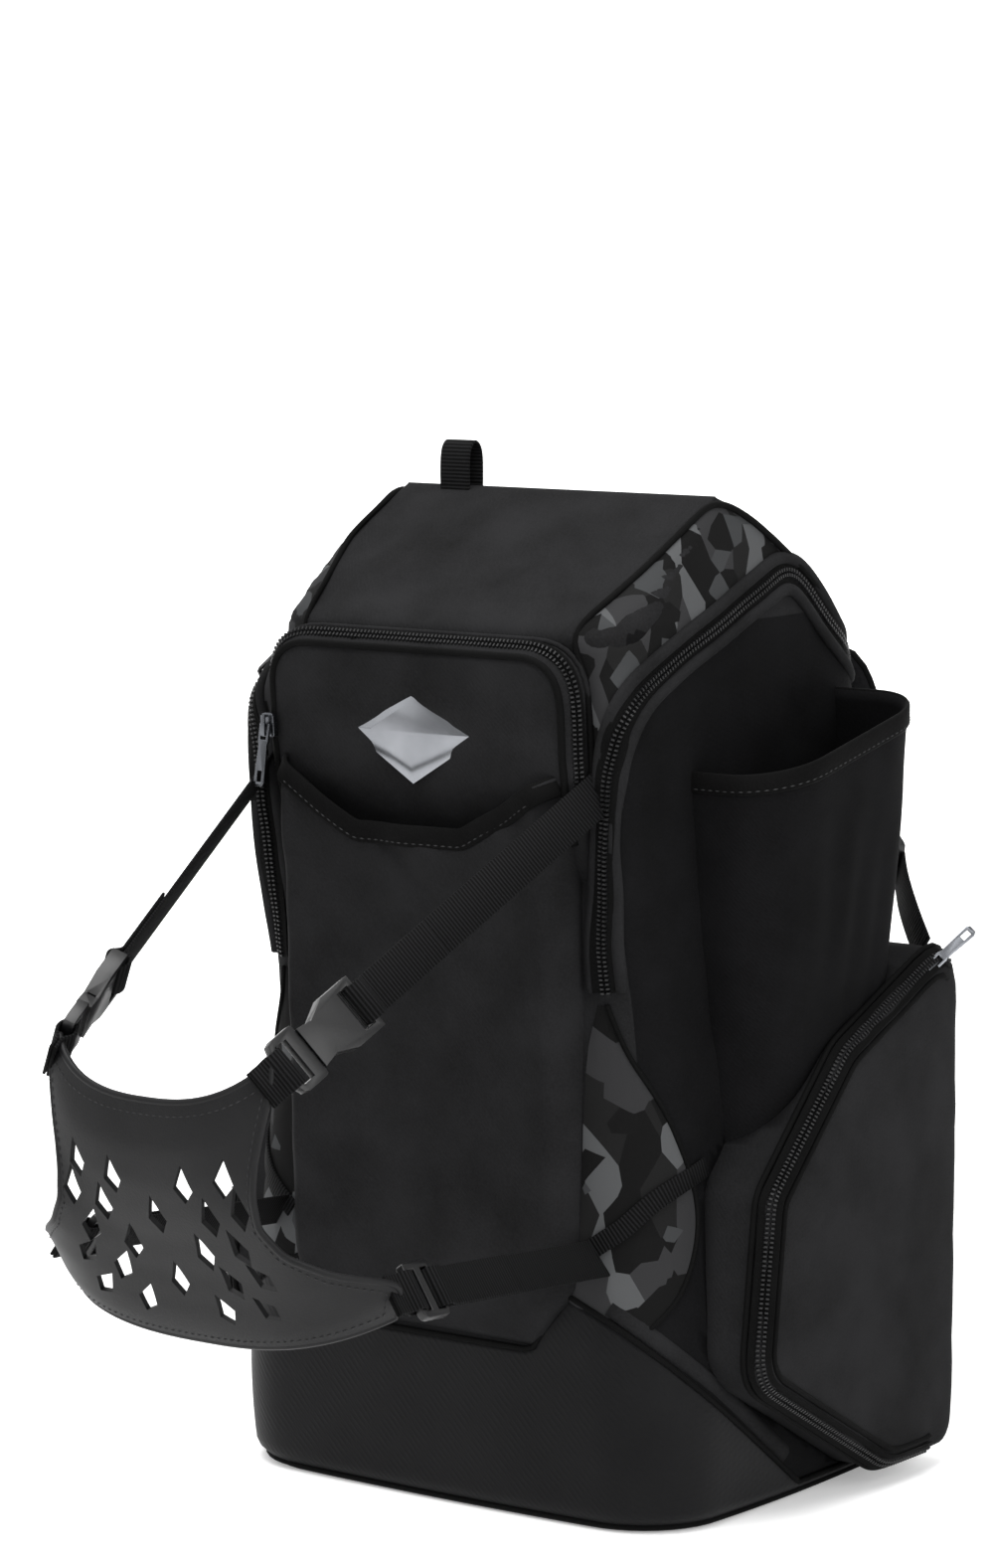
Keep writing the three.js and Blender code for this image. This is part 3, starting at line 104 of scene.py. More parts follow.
def add_node(tree, kind, settings=None, **inputs):
    node = tree.nodes.new(kind)
    for key, value in (settings or {}).items():
        setattr(node, key, value)
    for key, value in inputs.items():
        name = key.replace("_", " ")
        socket = node.inputs[int(key[1:])] if key[0] == "n" and key[1:].isdigit() else node.inputs[name]
        if isinstance(value, bpy.types.NodeSocket):
            tree.links.new(value, socket)
        else:
            socket.default_value = value
    return node


def new_material(name, colour, roughness, metallic=0.0, **shader):
    material = bpy.data.materials.new(name)
    material.use_nodes = True
    tree = material.node_tree
    surface = tree.nodes["Principled BSDF"]
    surface.inputs["Base Color"].default_value = linear(colour)
    surface.inputs["Roughness"].default_value = roughness
    surface.inputs["Metallic"].default_value = metallic
    for key, value in shader.items():
        surface.inputs[key.replace("_", " ")].default_value = value
    return material, tree, surface


def ramp(tree, factor, stops, interpolation="LINEAR"):
    node = add_node(tree, "ShaderNodeValToRGB", Fac=factor)
    node.color_ramp.interpolation = interpolation
    while len(node.color_ramp.elements) < len(stops):
        node.color_ramp.elements.new(0.5)
    for element, (position, colour) in zip(node.color_ramp.elements, stops):
        element.position = position
        element.color = linear(colour)
    return node

# %% [markdown]
# ### Cloths
# The bag is cut from fine polyester twill. Real threads are about 0.3 mm apart, too fine to show from
# two metres, so the weave is drawn about three times as coarse, as two crossed sets of waves. Dust and
# handling give the black cloth a slightly uneven grey. The boot at the foot has a coating that fills
# the weave and catches light. The gussets carry a common camouflage of straight-sided patches in greys.

# %% Woven cloths
WEAVE = 1 / (0.9 * MM)


def woven(name, dark, light, roughness, weave=WEAVE, depth=0.25, **shader):
    material, tree, surface = new_material(name, dark, roughness, **{"Specular_IOR_Level": 0.05, **shader})
    where = add_node(tree, "ShaderNodeTexCoord").outputs["Object"]
    waves = []
    for turn in ((0.6, 0.5, 0.8), (-0.7, 0.4, -0.6)):
        mapped = add_node(tree, "ShaderNodeMapping", Vector=where, Rotation=turn)
        waves.append(add_node(tree, "ShaderNodeTexWave", {"wave_profile": "SIN"}, Vector=mapped.outputs[0],
                              Scale=weave / 6.3, Distortion=1.2, Detail=1.0))
    cloth = add_node(tree, "ShaderNodeMath", {"operation": "MULTIPLY"}, n0=waves[0].outputs["Fac"],
                     n1=waves[1].outputs["Fac"])
    cloud = add_node(tree, "ShaderNodeTexNoise", Vector=where, Scale=26.0, Detail=6.0)
    fuzz = add_node(tree, "ShaderNodeTexNoise", Vector=where, Scale=850.0, Detail=2.0)
    blend = add_node(tree, "ShaderNodeMath", {"operation": "MULTIPLY_ADD"}, n0=fuzz.outputs["Fac"], n1=0.55,
                     n2=cloud.outputs["Fac"])
    tone = ramp(tree, blend.outputs[0], [(0.35, dark), (0.95, light)])
    tree.links.new(tone.outputs[0], surface.inputs["Base Color"])
    height = add_node(tree, "ShaderNodeMath", {"operation": "ADD"}, n0=cloth.outputs[0],
                      n1=fuzz.outputs["Fac"])
    bump = add_node(tree, "ShaderNodeBump", Strength=depth, Distance=0.25 * MM, Height=height.outputs[0])
    tree.links.new(bump.outputs[0], surface.inputs["Normal"])
    return material


twill = woven("polyester_twill", "#0f0f0f", "#1f1f20", 0.85)
coated = woven("coated_boot_cloth", "#080809", "#0f0f10", 0.5, weave=WEAVE / 1.6, depth=0.3,
               Specular_IOR_Level=0.09)
# The sleeve is cut from this darker cloth. The same cloth is also laid on the bag's flat lower sides as
# painted shade.
sleeve_cloth = woven("stretch_sleeve_cloth", "#060606", "#101011", 0.88)
binding = woven("grosgrain_binding", "#050505", "#0c0c0c", 0.8)
zip_tape = woven("woven_zip_tape", "#050505", "#0c0c0c", 0.85)

# %% [markdown]
# The camouflage is cut from straight-sided cells: each takes one of four greys, neighbours of one grey
# run together, and a second, finer set of cells bites corners out of them.

# %% Camouflage print
CAMO_CELLS = [((0.5, 0.35, 0.6), (1.0, 1.5, 0.75), 47.0), ((-0.4, 0.8, 0.2), (1.4, 0.8, 1.1), 70.0)]


def camouflage():
    material, tree, surface = new_material("camouflage_print", "#2e2e2f", 0.82, Specular_IOR_Level=0.05)
    where = add_node(tree, "ShaderNodeTexCoord").outputs["Object"]
    cells = []
    for turn, stretch, size in CAMO_CELLS:
        space = add_node(tree, "ShaderNodeMapping", Vector=where, Rotation=turn, Scale=stretch)
        voronoi = add_node(tree, "ShaderNodeTexVoronoi", Vector=space.outputs[0], Scale=size)
        cells.append(add_node(tree, "ShaderNodeSeparateColor", Color=voronoi.outputs["Color"]))
    shade, chip = cells
    greys = [(0.0, "#101010"), (0.34, "#2b2b2c"), (0.6, "#474849"), (0.8, "#191919")]
    patches = ramp(tree, shade.outputs[0], greys, "CONSTANT")
    chips = ramp(tree, chip.outputs[1], [(0.0, "#343536"), (0.5, "#111111")], "CONSTANT")
    pick = add_node(tree, "ShaderNodeMath", {"operation": "GREATER_THAN"}, n0=chip.outputs[0], n1=0.76)
    mixed = add_node(tree, "ShaderNodeMix", {"data_type": "RGBA"}, n0=pick.outputs[0],
                     n6=patches.outputs[0], n7=chips.outputs[0])
    tree.links.new(mixed.outputs[2], surface.inputs["Base Color"])
    fuzz = add_node(tree, "ShaderNodeTexNoise", Vector=where, Scale=900.0, Detail=2.0)
    bump = add_node(tree, "ShaderNodeBump", Strength=0.25, Distance=0.25 * MM, Height=fuzz.outputs["Fac"])
    tree.links.new(bump.outputs[0], surface.inputs["Normal"])
    return material


camo = camouflage()

# %% [markdown]
# ### Webbing, mesh, synthetic leather, plastics and metals
# Webbing has ribs across it every 1.9 mm. They follow the strap, so they are read from the strap's own
# unwrapped length. Spacer mesh has small cells in a knitted face. Synthetic leather has a fine pebble.
# Acetal buckles are moulded black plastic with a soft shine. Zip pulls are plated in a dark metal, and
# the badge is bright chrome.

# %% Strap, mesh, leather, plastic and metal finishes
def ribbed_webbing(name, dark, light, pitch):
    material, tree, surface = new_material(name, dark, 0.8, Specular_IOR_Level=0.08)
    chart = add_node(tree, "ShaderNodeUVMap")
    ribs = add_node(tree, "ShaderNodeTexWave", {"bands_direction": "Y"},
                    Vector=chart.outputs[0], Scale=1 / (pitch * MM) / 6.3 * 2, Distortion=0.35, Detail=1.0)
    tone = ramp(tree, ribs.outputs["Fac"], [(0.15, dark), (0.9, light)])
    tree.links.new(tone.outputs[0], surface.inputs["Base Color"])
    bump = add_node(tree, "ShaderNodeBump", Strength=0.7, Distance=0.5 * MM, Height=ribs.outputs["Fac"])
    tree.links.new(bump.outputs[0], surface.inputs["Normal"])
    return material


def pebbled(name, dark, light, roughness, grain, depth, **shader):
    material, tree, surface = new_material(name, dark, roughness, **shader)
    where = add_node(tree, "ShaderNodeTexCoord").outputs["Object"]
    cells = add_node(tree, "ShaderNodeTexVoronoi", Vector=where, Scale=1 / (grain * MM))
    cloud = add_node(tree, "ShaderNodeTexNoise", Vector=where, Scale=30.0, Detail=5.0)
    tone = ramp(tree, cloud.outputs["Fac"], [(0.3, dark), (0.75, light)])
    tree.links.new(tone.outputs[0], surface.inputs["Base Color"])
    bump = add_node(tree, "ShaderNodeBump", Strength=depth, Distance=0.3 * MM,
                    Height=cells.outputs["Distance"])
    tree.links.new(bump.outputs[0], surface.inputs["Normal"])
    return material


webbing = ribbed_webbing("polyester_webbing", "#030303", "#161617", 1.9)
leather = pebbled("synthetic_leather", "#0d0d0e", "#151516", 0.5, 1.1, 0.2, Specular_IOR_Level=0.18)
air_mesh = pebbled("spacer_mesh", "#080809", "#181819", 0.9, 2.4, 1.0, Specular_IOR_Level=0.06)
acetal = pebbled("moulded_acetal", "#060607", "#0e0e0f", 0.36, 1.4, 0.06, Specular_IOR_Level=0.4)
coil = pebbled("nylon_zip_coil", "#0c0c0d", "#171718", 0.42, 1.0, 0.05, Specular_IOR_Level=0.35)
thread = pebbled("bonded_thread", "#1c1c1d", "#2a2a2b", 0.6, 0.5, 0.2, Specular_IOR_Level=0.2)
gunmetal = pebbled("gunmetal_plating", "#5b5d61", "#74767a", 0.26, 0.9, 0.04, metallic=1.0)
chrome = pebbled("bright_chrome", "#77797d", "#8f9195", 0.2, 3.0, 0.01, metallic=1.0)
print(len(bpy.data.materials), "materials")

# %% [markdown]
# ## Mesh helpers
# Cloth panels are grids of points, and straps, piping and zips are a flat profile swept along a path. A
# grid is turned to face away from a middle point, so that every panel shows its outside. A swept piece
# keeps its length and width in its UV map, in metres, which is what the webbing's ribs read.

# %% Grids
def finish_mesh(name, verts, faces, material, slot, charts=None, middle=None):
    mesh = bpy.data.meshes.new(name)
    mesh.from_pydata([tuple(c * MM for c in v) for v in verts], [], faces)
    if charts is not None:
        layer = mesh.uv_layers.new(name="UVMap")
        index = np.empty(len(mesh.loops), dtype=np.int32)
        mesh.loops.foreach_get("vertex_index", index)
        layer.data.foreach_set("uv", (np.asarray(charts, float)[index] * MM).ravel())
    form = bmesh.new()
    form.from_mesh(mesh)
    bmesh.ops.remove_doubles(form, verts=form.verts, dist=1e-6)
    bmesh.ops.dissolve_degenerate(form, edges=form.edges, dist=1e-6)
    bmesh.ops.recalc_face_normals(form, faces=form.faces)
    if middle is not None:
        centre = Vector(middle) * MM
        facing = sum(f.calc_area() * f.normal.dot(f.calc_center_median() - centre) for f in form.faces)
        if facing < 0:
            bmesh.ops.reverse_faces(form, faces=form.faces)
    form.to_mesh(mesh)
    form.free()
    mesh.materials.append(material)
    mesh.polygons.foreach_set("use_smooth", [True] * len(mesh.polygons))
    obj = bpy.data.objects.new(name, mesh)
    bpy.context.scene.collection.objects.link(obj)
    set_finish(obj, slot)
    made[name] = obj
    return obj


def grid_piece(name, grid, material, slot, wrap=False, caps=(False, False), middle=None):
    grid = np.asarray(grid, float)
    rows, columns, _ = grid.shape
    verts = grid.reshape(-1, 3).tolist()
    faces = []
    for r in range(rows - 1):
        for c in range(columns if wrap else columns - 1):
            a, b = r * columns + c, r * columns + (c + 1) % columns
            faces.append((a, b, b + columns, a + columns))
    for row, wanted in ((0, caps[0]), (rows - 1, caps[1])):
        if wanted:
            hub = len(verts)
            verts.append(grid[row].mean(axis=0).tolist())
            faces += [(row * columns + c, row * columns + (c + 1) % columns, hub) for c in range(columns)]
    return finish_mesh(name, verts, faces, material, slot, middle=middle)

# %% [markdown]
# Modifiers finish a mesh. They are applied at once, so that what follows works on the real surface.

# %% Modifiers and copies
def only(obj):
    bpy.ops.object.select_all(action="DESELECT")
    bpy.context.view_layer.objects.active = obj
    obj.select_set(True)


def apply_modifier(obj, kind, **settings):
    only(obj)
    modifier = obj.modifiers.new(kind.title(), kind)
    for key, value in settings.items():
        setattr(modifier, key, value)
    bpy.ops.object.modifier_apply(modifier=modifier.name)
    return obj


def thicken(obj, thickness):
    return apply_modifier(obj, "SOLIDIFY", thickness=thickness * MM, offset=-1.0, use_even_offset=True)


def cut(obj, cutter, solver="EXACT"):
    apply_modifier(obj, "BOOLEAN", object=cutter, operation="DIFFERENCE", solver=solver)
    bpy.data.objects.remove(cutter)
    return obj


def smooth_by_angle(obj, degrees=35):
    only(obj)
    bpy.ops.object.shade_smooth_by_angle(angle=math.radians(degrees))
    return obj


def other_side(obj, name):
    """The same piece on the bag's left side."""
    mesh = obj.data.copy()
    mesh.transform(Matrix.Scale(-1, 4, (1, 0, 0)))
    mesh.flip_normals()
    twin = bpy.data.objects.new(name, mesh)
    bpy.context.scene.collection.objects.link(twin)
    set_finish(twin, obj["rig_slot"])
    made[name] = twin
    return twin


def join(name, pieces):
    only(pieces[0])
    for piece in pieces[1:]:
        piece.select_set(True)
        made.pop(piece.name, None)
    bpy.ops.object.join()
    made.pop(pieces[0].name, None)
    pieces[0].name = name
    made[name] = pieces[0]
    return pieces[0]

# %% Paths and swept profiles
def through(points, step=4.0):
    """A smooth line through the points, with its own points a step apart, in mm."""
    points = [np.array(p, float) for p in points]
    ends = [2 * points[0] - points[1], *points, 2 * points[-1] - points[-2]]
    fine = []
    for a, b, c, d in zip(ends, ends[1:], ends[2:], ends[3:]):
        for t in np.linspace(0, 1, 24, endpoint=False):
            fine.append(0.5 * (2 * b + (c - a) * t + (2 * a - 5 * b + 4 * c - d) * t**2
                               + (3 * b - a - 3 * c + d) * t**3))
    return evenly(np.array([*fine, points[-1]]), step)


def evenly(line, step):
    lengths = np.r_[0, np.cumsum(np.linalg.norm(np.diff(line, axis=0), axis=1))]
    count = max(int(round(lengths[-1] / step)), 2)
    at = np.linspace(0, lengths[-1], count + 1)
    return np.stack([np.interp(at, lengths, line[:, i]) for i in range(3)], axis=1)


def unit(v):
    return v / np.maximum(np.linalg.norm(v, axis=-1, keepdims=True), 1e-9)


def frames(path, aways):
    """Directions along, across and away from the surface, at each point of a path."""
    along = unit(np.gradient(path, axis=0))
    away = unit(aways - along * np.sum(aways * along, axis=1, keepdims=True))
    return along, np.cross(away, along), away


def sweep(name, path, aways, profile, material, slot, closed=False, widths=None):
    """A closed profile of (across, away) points carried along a path. widths scales it at each point."""
    along, across, away = frames(path, aways)
    profile = np.array(profile, float)
    spread = np.ones(len(path)) if widths is None else np.asarray(widths, float)
    rings = (path[:, None] + across[:, None] * profile[None, :, :1] * spread[:, None, None]
             + away[:, None] * profile[None, :, 1:])
    count, sides = len(path), len(profile)
    length = np.r_[0, np.cumsum(np.linalg.norm(np.diff(path, axis=0), axis=1))]
    charts = [(profile[s, 0], length[r]) for r in range(count) for s in range(sides)]
    faces = []
    for r in range(count if closed else count - 1):
        for s in range(sides):
            a, b = r * sides + s, r * sides + (s + 1) % sides
            n = ((r + 1) % count - r) * sides
            faces.append((a, b, b + n, a + n))
    if not closed:
        faces += [tuple(range(sides)), tuple(range((count - 1) * sides, count * sides))]
    return finish_mesh(name, rings.reshape(-1, 3).tolist(), faces, material, slot, charts=charts)


def band(width, thickness, low=0.0, lip=0.35):
    """Profile of flat webbing or tape whose underside is at low, with softened edges."""
    w, t = width / 2, thickness
    return [(-w + lip, low), (w - lip, low), (w, low + t * 0.3), (w, low + t * 0.7), (w - lip, low + t),
            (0, low + t), (-w + lip, low + t), (-w, low + t * 0.7), (-w, low + t * 0.3)]


def cordlike(radius, low=0.0, sides=8, squash=1.0):
    turn = np.linspace(0, 2 * math.pi, sides, endpoint=False)
    return [(radius * math.cos(a), low + radius * squash * (1 + math.sin(a))) for a in turn]

# %% [markdown]
# Zips, stitches and other rows of small things are one tiny shape laid down many times. Each tooth has
# twelve triangles and each stitch eight, so that even a long seam stays light.

# %% Rows of teeth and stitches
TOOTH = [(-1, -1, 0), (1, -1, 0), (1, 1, 0), (-1, 1, 0),
         (-0.6, -0.7, 1), (0.6, -0.7, 1), (0.6, 0.7, 1), (-0.6, 0.7, 1)]
TOOTH_FACES = [(0, 3, 2, 1), (4, 5, 6, 7), (0, 1, 5, 4), (1, 2, 6, 5), (2, 3, 7, 6), (3, 0, 4, 7)]
STITCH = [(-1, 0, 0.2), (1, 0, 0.2), (0, -1, 0.2), (0, 1, 0.2), (0, 0, 1), (0, 0, -0.4)]
STITCH_FACES = [(0, 2, 4), (2, 1, 4), (1, 3, 4), (3, 0, 4), (2, 0, 5), (1, 2, 5), (3, 1, 5), (0, 3, 5)]


def row_of(name, path, aways, shape, shape_faces, size, sideways, low, material, slot, slant=0.0):
    """Copies of a small shape at every point of a path: size is along, across, away in mm."""
    along, across, away = frames(path, aways)
    verts, faces = [], []
    for i, point in enumerate(path):
        for offset in sideways:
            centre = point + across[i] * offset + away[i] * low
            start = len(verts)
            lean = along[i] + across[i] * slant * np.sign(offset)
            for a, b, c in shape:
                verts.append(centre + lean * a * size[0] + across[i] * b * size[1] + away[i] * c * size[2])
            faces += [tuple(start + k for k in face) for face in shape_faces]
    mesh = bpy.data.meshes.new(name)
    mesh.from_pydata([tuple(v * MM) for v in verts], [], faces)
    mesh.materials.append(material)
    obj = bpy.data.objects.new(name, mesh)
    bpy.context.scene.collection.objects.link(obj)
    only(obj)
    bpy.ops.object.mode_set(mode="EDIT")
    bpy.ops.mesh.select_all(action="SELECT")
    bpy.ops.mesh.normals_make_consistent(inside=False)
    bpy.ops.object.mode_set(mode="OBJECT")
    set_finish(obj, slot)
    made[name] = obj
    return obj


def matched(aways, count):
    """Directions given along a path, read again at count even steps."""
    given, wanted = np.linspace(0, 1, len(aways)), np.linspace(0, 1, count)
    return np.stack([np.interp(wanted, given, aways[:, i]) for i in range(3)], axis=1)


def stitches(name, path, aways, low=0.3, pitch=4.2):
    spots = evenly(path, pitch)
    return row_of(name, spots, matched(aways, len(spots)), STITCH, STITCH_FACES, (1.5, 0.38, 0.35), (0.0,),
                  low, thread, "twill")


def zip_line(name, path, aways, slot="zip_coil", tape=15.0, low=0.5):
    """A closed coil zip: woven tape, two rows of coil and a gap between them."""
    parts = [sweep(name + "_tape", path, aways, band(tape, 0.7, low), zip_tape, slot)]
    spots = evenly(path, 2.3)
    parts.append(row_of(name + "_teeth", spots, matched(aways, len(spots)), TOOTH, TOOTH_FACES,
                        (0.72, 1.15, 1.5), (-1.45, 1.45), low + 0.6, coil, slot, slant=0.25))
    return join(name, parts)

# %% [markdown]
# ## The bag's main form
# Level sections of the bag, from its foot to its ridge, as shares of a few driving sizes. A smooth
# reading between the rows gives the taut, slightly crowned form that a stuffed bag has.

# %% Sections of the bag
HEIGHT, HALF_WIDTH, HALF_DEPTH = 505.0, 142.0, 108.0
FRONT_ROUND, BACK_ROUND = 45.0, 24.0
COLUMNS = ("at", "width", "front", "back", "front_round", "back_round")
SECTIONS = np.array([
    (0.0, 0.944, 0.93, 0.93, 1.0, 1.0), (0.02, 0.993, 0.995, 0.99, 1.0, 1.0),
    (0.1, 1.005, 1.02, 1.0, 1.02, 1.0), (0.18, 0.985, 1.025, 1.0, 1.02, 1.0),
    (0.28, 0.944, 1.005, 1.0, 1.0, 1.0), (0.4, 0.894, 0.99, 0.995, 0.96, 1.0),
    (0.54, 0.852, 0.98, 0.99, 0.84, 1.0), (0.68, 0.831, 0.99, 0.985, 0.7, 1.0),
    (0.79, 0.824, 1.01, 0.972, 0.58, 1.0), (0.842, 0.817, 1.035, 0.905, 0.52, 0.9),
    (0.873, 0.813, 1.045, 0.8, 0.48, 0.75), (0.905, 0.806, 0.87, 0.66, 0.42, 0.6),
    (0.935, 0.795, 0.685, 0.47, 0.34, 0.45), (0.965, 0.781, 0.485, 0.235, 0.24, 0.3),
    (0.988, 0.764, 0.315, 0.0, 0.12, 0.16), (1.0, 0.745, 0.215, -0.15, 0.06, 0.1)])


def section(z, column):
    """A smooth, unwavering reading of the table at heights z in mm."""
    x, y = SECTIONS[:, 0] * HEIGHT, SECTIONS[:, COLUMNS.index(column)]
    slope = np.diff(y) / np.diff(x)
    product, total = slope[1:] * slope[:-1], slope[1:] + slope[:-1]
    bends = np.where(product > 0, 2 * product / np.where(total == 0, 1, total), 0)
    m = np.r_[slope[0], bends, slope[-1]]
    z = np.clip(np.asarray(z, float), 0, HEIGHT)
    i = np.clip(np.searchsorted(x, z) - 1, 0, len(x) - 2)
    h = x[i + 1] - x[i]
    t = (z - x[i]) / h
    return ((2 * t**3 - 3 * t**2 + 1) * y[i] + (t**3 - 2 * t**2 + t) * h * m[i]
            + (3 * t**2 - 2 * t**3) * y[i + 1] + (t**3 - t**2) * h * m[i + 1])


def front_face(z):
    return -section(z, "front") * HALF_DEPTH


STRETCHES = [("front", 18), ("front arc", 10), ("side", 24), ("back arc", 8), ("back", 14)]
HALF_COLUMNS = [(kind, i / count) for kind, count in STRETCHES for i in range(count)] + [("back", 1.0)]


def half_outline(kind, t, z, grow):
    width, front, back = (section(z, k) * s + grow for k, s in
                          (("width", HALF_WIDTH), ("front", HALF_DEPTH), ("back", HALF_DEPTH)))
    most = (front + back) * 0.46
    fr = np.minimum(np.maximum(section(z, "front_round") * FRONT_ROUND + grow, 1), most)
    br = np.minimum(np.maximum(section(z, "back_round") * BACK_ROUND + grow, 1), most)
    quarter = t * math.pi / 2
    crown = 2.2 * np.clip((front + back) / 200, 0, 1)
    if kind == "front":
        return t * (width - fr), -front - crown * (1 - t * t)
    if kind == "front arc":
        return width - fr + fr * math.sin(quarter), -front + fr - fr * math.cos(quarter)
    if kind == "side":
        return width + crown * 4 * t * (1 - t), (-front + fr) * (1 - t) + (back - br) * t
    if kind == "back arc":
        return width - br + br * math.cos(quarter), back - br + br * math.sin(quarter)
    return (1 - t) * (width - br), back + 0 * width


def soft_step(value, low, high):
    t = np.clip((np.asarray(value, float) - low) / (high - low), 0, 1)
    return t * t * (3 - 2 * t)


def padded_corner(x, y, z):
    """The upper front corners stand out where padding lies under the main zip."""
    tall = soft_step(z, 240, 372) * (1 - soft_step(z, 400, 440))
    near = soft_step(x, 92, 112) * soft_step(-y, 66, 98)
    low = soft_step(z, 235, 300) * (1 - soft_step(z, 330, 400))
    edge = soft_step(x, 88, 104) * soft_step(-y, 80, 104)
    return x + 2.5 * tall * near, y - 13.0 * tall * near - 5.0 * low * edge


def body_grid(heights, grow=0.0):
    """heights holds a column of heights in mm for each half column: the points right round the bag."""
    right = []
    for (kind, t), z in zip(HALF_COLUMNS, heights.T):
        x, y = padded_corner(*half_outline(kind, t, z, grow), z)
        right.append(np.stack([x, y, z], axis=1))
    right = np.array(right)
    left = right[1:-1][::-1] * np.array([-1, 1, 1])
    return np.concatenate([right, left]).transpose(1, 0, 2)

# %% [markdown]
# The boot's top seam runs level across the front, climbs to a peak at each front corner and falls
# straight back along the side. Each column of the bag's grid starts at that seam, so the seam is a
# clean line of vertices.

# %% The boot's seam
def boot_seam(x, y):
    x = abs(x)
    front = 88 + max(x - 62, 0) * 30 / 17
    fall = 118 - 0.4 * (x - 79) - 0.754 * (y + HALF_DEPTH)
    return max(min(front, fall), 8.0)


def seam_heights():
    heights = []
    for kind, t in HALF_COLUMNS:
        z = 60.0
        for _ in range(6):
            x, y = half_outline(kind, t, np.array([z]), 0.0)
            z = 0.5 * z + 0.5 * boot_seam(float(x[0]), float(y[0]))
        heights.append(z)
    return np.array(heights)


SEAM = seam_heights()


def ruffle(grid, size, reach, seed):
    """Moves a grid's points in and out a little, as cloth that is pulled and filled unevenly."""
    normal = unit(np.cross(np.gradient(grid, axis=1), np.gradient(grid, axis=0)))
    out = grid.copy()
    rows = grid.shape[0]
    for r in range(rows):
        calm = min(1, 4 * r / rows, 4 * (rows - 1 - r) / rows)
        for c in range(grid.shape[1]):
            value = noise.fractal(Vector(grid[r, c] / reach) + Vector((seed, 0, 0)), 0.9, 2.1, 3)
            out[r, c] += normal[r, c] * size * value * calm
    return out


levels = np.r_[np.linspace(0, 0.74, 64, endpoint=False), np.linspace(0.74, 0.87, 22, endpoint=False),
               np.linspace(0.87, 1.0, 44)]
low = SEAM - 3.0
main_heights = low[None, :] + (HEIGHT - low)[None, :] * levels[:, None]
main_grid = ruffle(body_grid(main_heights), 1.3, 46.0, 3.0)
ridge = main_grid[-1].copy()
ridge[:, 1] = -19.7
ridge[:, 2] = HEIGHT + 1.2
main_body = grid_piece("main_body_shell", np.concatenate([main_grid, ridge[None]]), twill, "twill",
                       wrap=True, caps=(True, False))
# The bag's flat lower sides take the darker sleeve cloth as painted shade.
main_body.data.materials.append(sleeve_cloth)
for face in main_body.data.polygons:
    if abs(face.normal.x) > 0.75 and face.center.z < 0.445:
        face.material_index = 1
print("main body:", len(main_body.data.polygons), "faces")

# %% Outlines with rounded corners
def inset(corners, distance):
    """A convex outline moved inwards."""
    count = len(corners)
    lines = []
    for i in range(count):
        a, b = np.array(corners[i], float), np.array(corners[(i + 1) % count], float)
        inward = np.array([-(b - a)[1], (b - a)[0]]) / np.linalg.norm(b - a)
        lines.append((inward, inward @ a + distance))
    pairs = [(lines[i - 1], lines[i]) for i in range(count)]
    return [np.linalg.solve(np.array([a[0], b[0]]), np.array([a[1], b[1]])) for a, b in pairs]


def rounded(corners, radii, steps, per_side=1):
    points = []
    count = len(corners)
    for i in range(count):
        here, before, after = (np.array(corners[k % count], float) for k in (i, i - 1, i + 1))
        back, on = before - here, after - here
        half = math.acos(np.clip(back @ on / np.linalg.norm(back) / np.linalg.norm(on), -1, 1)) / 2
        reach = min(radii[i] / math.tan(half), np.linalg.norm(back) * 0.48, np.linalg.norm(on) * 0.48)
        start, end = back / np.linalg.norm(back) * reach, on / np.linalg.norm(on) * reach
        for k in range(steps + 1):
            t = k / steps
            points.append(here + start * (1 - t) ** 2 + end * t * t)
    dense = []
    for i, p in enumerate(points):
        dense.append(p)
        if i % (steps + 1) == steps:
            q = points[(i + 1) % len(points)]
            dense += [p + (q - p) * k / per_side for k in range(1, per_side)]
    return np.array(dense)

# %% [markdown]
# ## The side wells
# A zipped pocket with a puffed outer face fills the lower corner of each side, and a sleeve stands in
# it. The pocket's outline is a polygon seen from the side, moved inwards ring by ring to make its
# rounded edge. The bag's side is hollowed behind it, which makes one long well with the sleeve above.

# %% Side pocket outline
SIDE_CORNERS = [(-0.69, 0.15), (0.42, 0.0175), (1.06, 0.0175), (1.06, 0.56), (0.04, 0.465), (-0.58, 0.335)]
SIDE_RADII = [26, 40, 16, 24, 40, 22]
REACH = 172.0
WELL = 108.0


def side_ring(x, distance, steps=6, per_side=16):
    corners = [(y * HALF_DEPTH, z * HEIGHT) for y, z in SIDE_CORNERS]
    radii = [max(r - distance * 0.6, 4) for r in SIDE_RADII]
    flat = rounded(inset(corners, distance), radii, steps, per_side)
    return np.column_stack([np.full(len(flat), x), flat])


def shrink(ring, share, x):
    middle = ring.mean(axis=0)
    out = middle + (ring - middle) * share
    out[:, 0] = x
    return out


well = grid_piece("well_cutter", [side_ring(WELL, 0), side_ring(240, 0)], twill, "twill", wrap=True,
                  caps=(True, True))
well_left = other_side(well, "well_cutter_left")
for cutter in (well, well_left):
    made.pop(cutter.name)
    cut(main_body, cutter)
bpy.context.view_layer.update()
surface_tree = BVHTree.FromObject(main_body, bpy.context.evaluated_depsgraph_get())


def on_bag(points):
    """The nearest places on the bag's surface, in mm, and the way out of it at each."""
    found = [surface_tree.find_nearest(Vector(p) * MM) for p in points]
    return np.array([np.array(f[0]) / MM for f in found]), np.array([np.array(f[1]) for f in found])


def seat(points, lift=0.0, step=4.0):
    """A smooth line laid on the bag: its points, and the way out of the surface at each."""
    spots, ways = on_bag(through(points, step))
    for _ in range(9):
        ways[1:-1] = unit(ways[:-2] + 2 * ways[1:-1] + ways[2:])
        spots[1:-1] = spots[1:-1] * 0.6 + (spots[:-2] + spots[2:]) * 0.2
    return spots + ways * lift, ways


print("bag with its wells:", len(main_body.data.polygons), "faces")

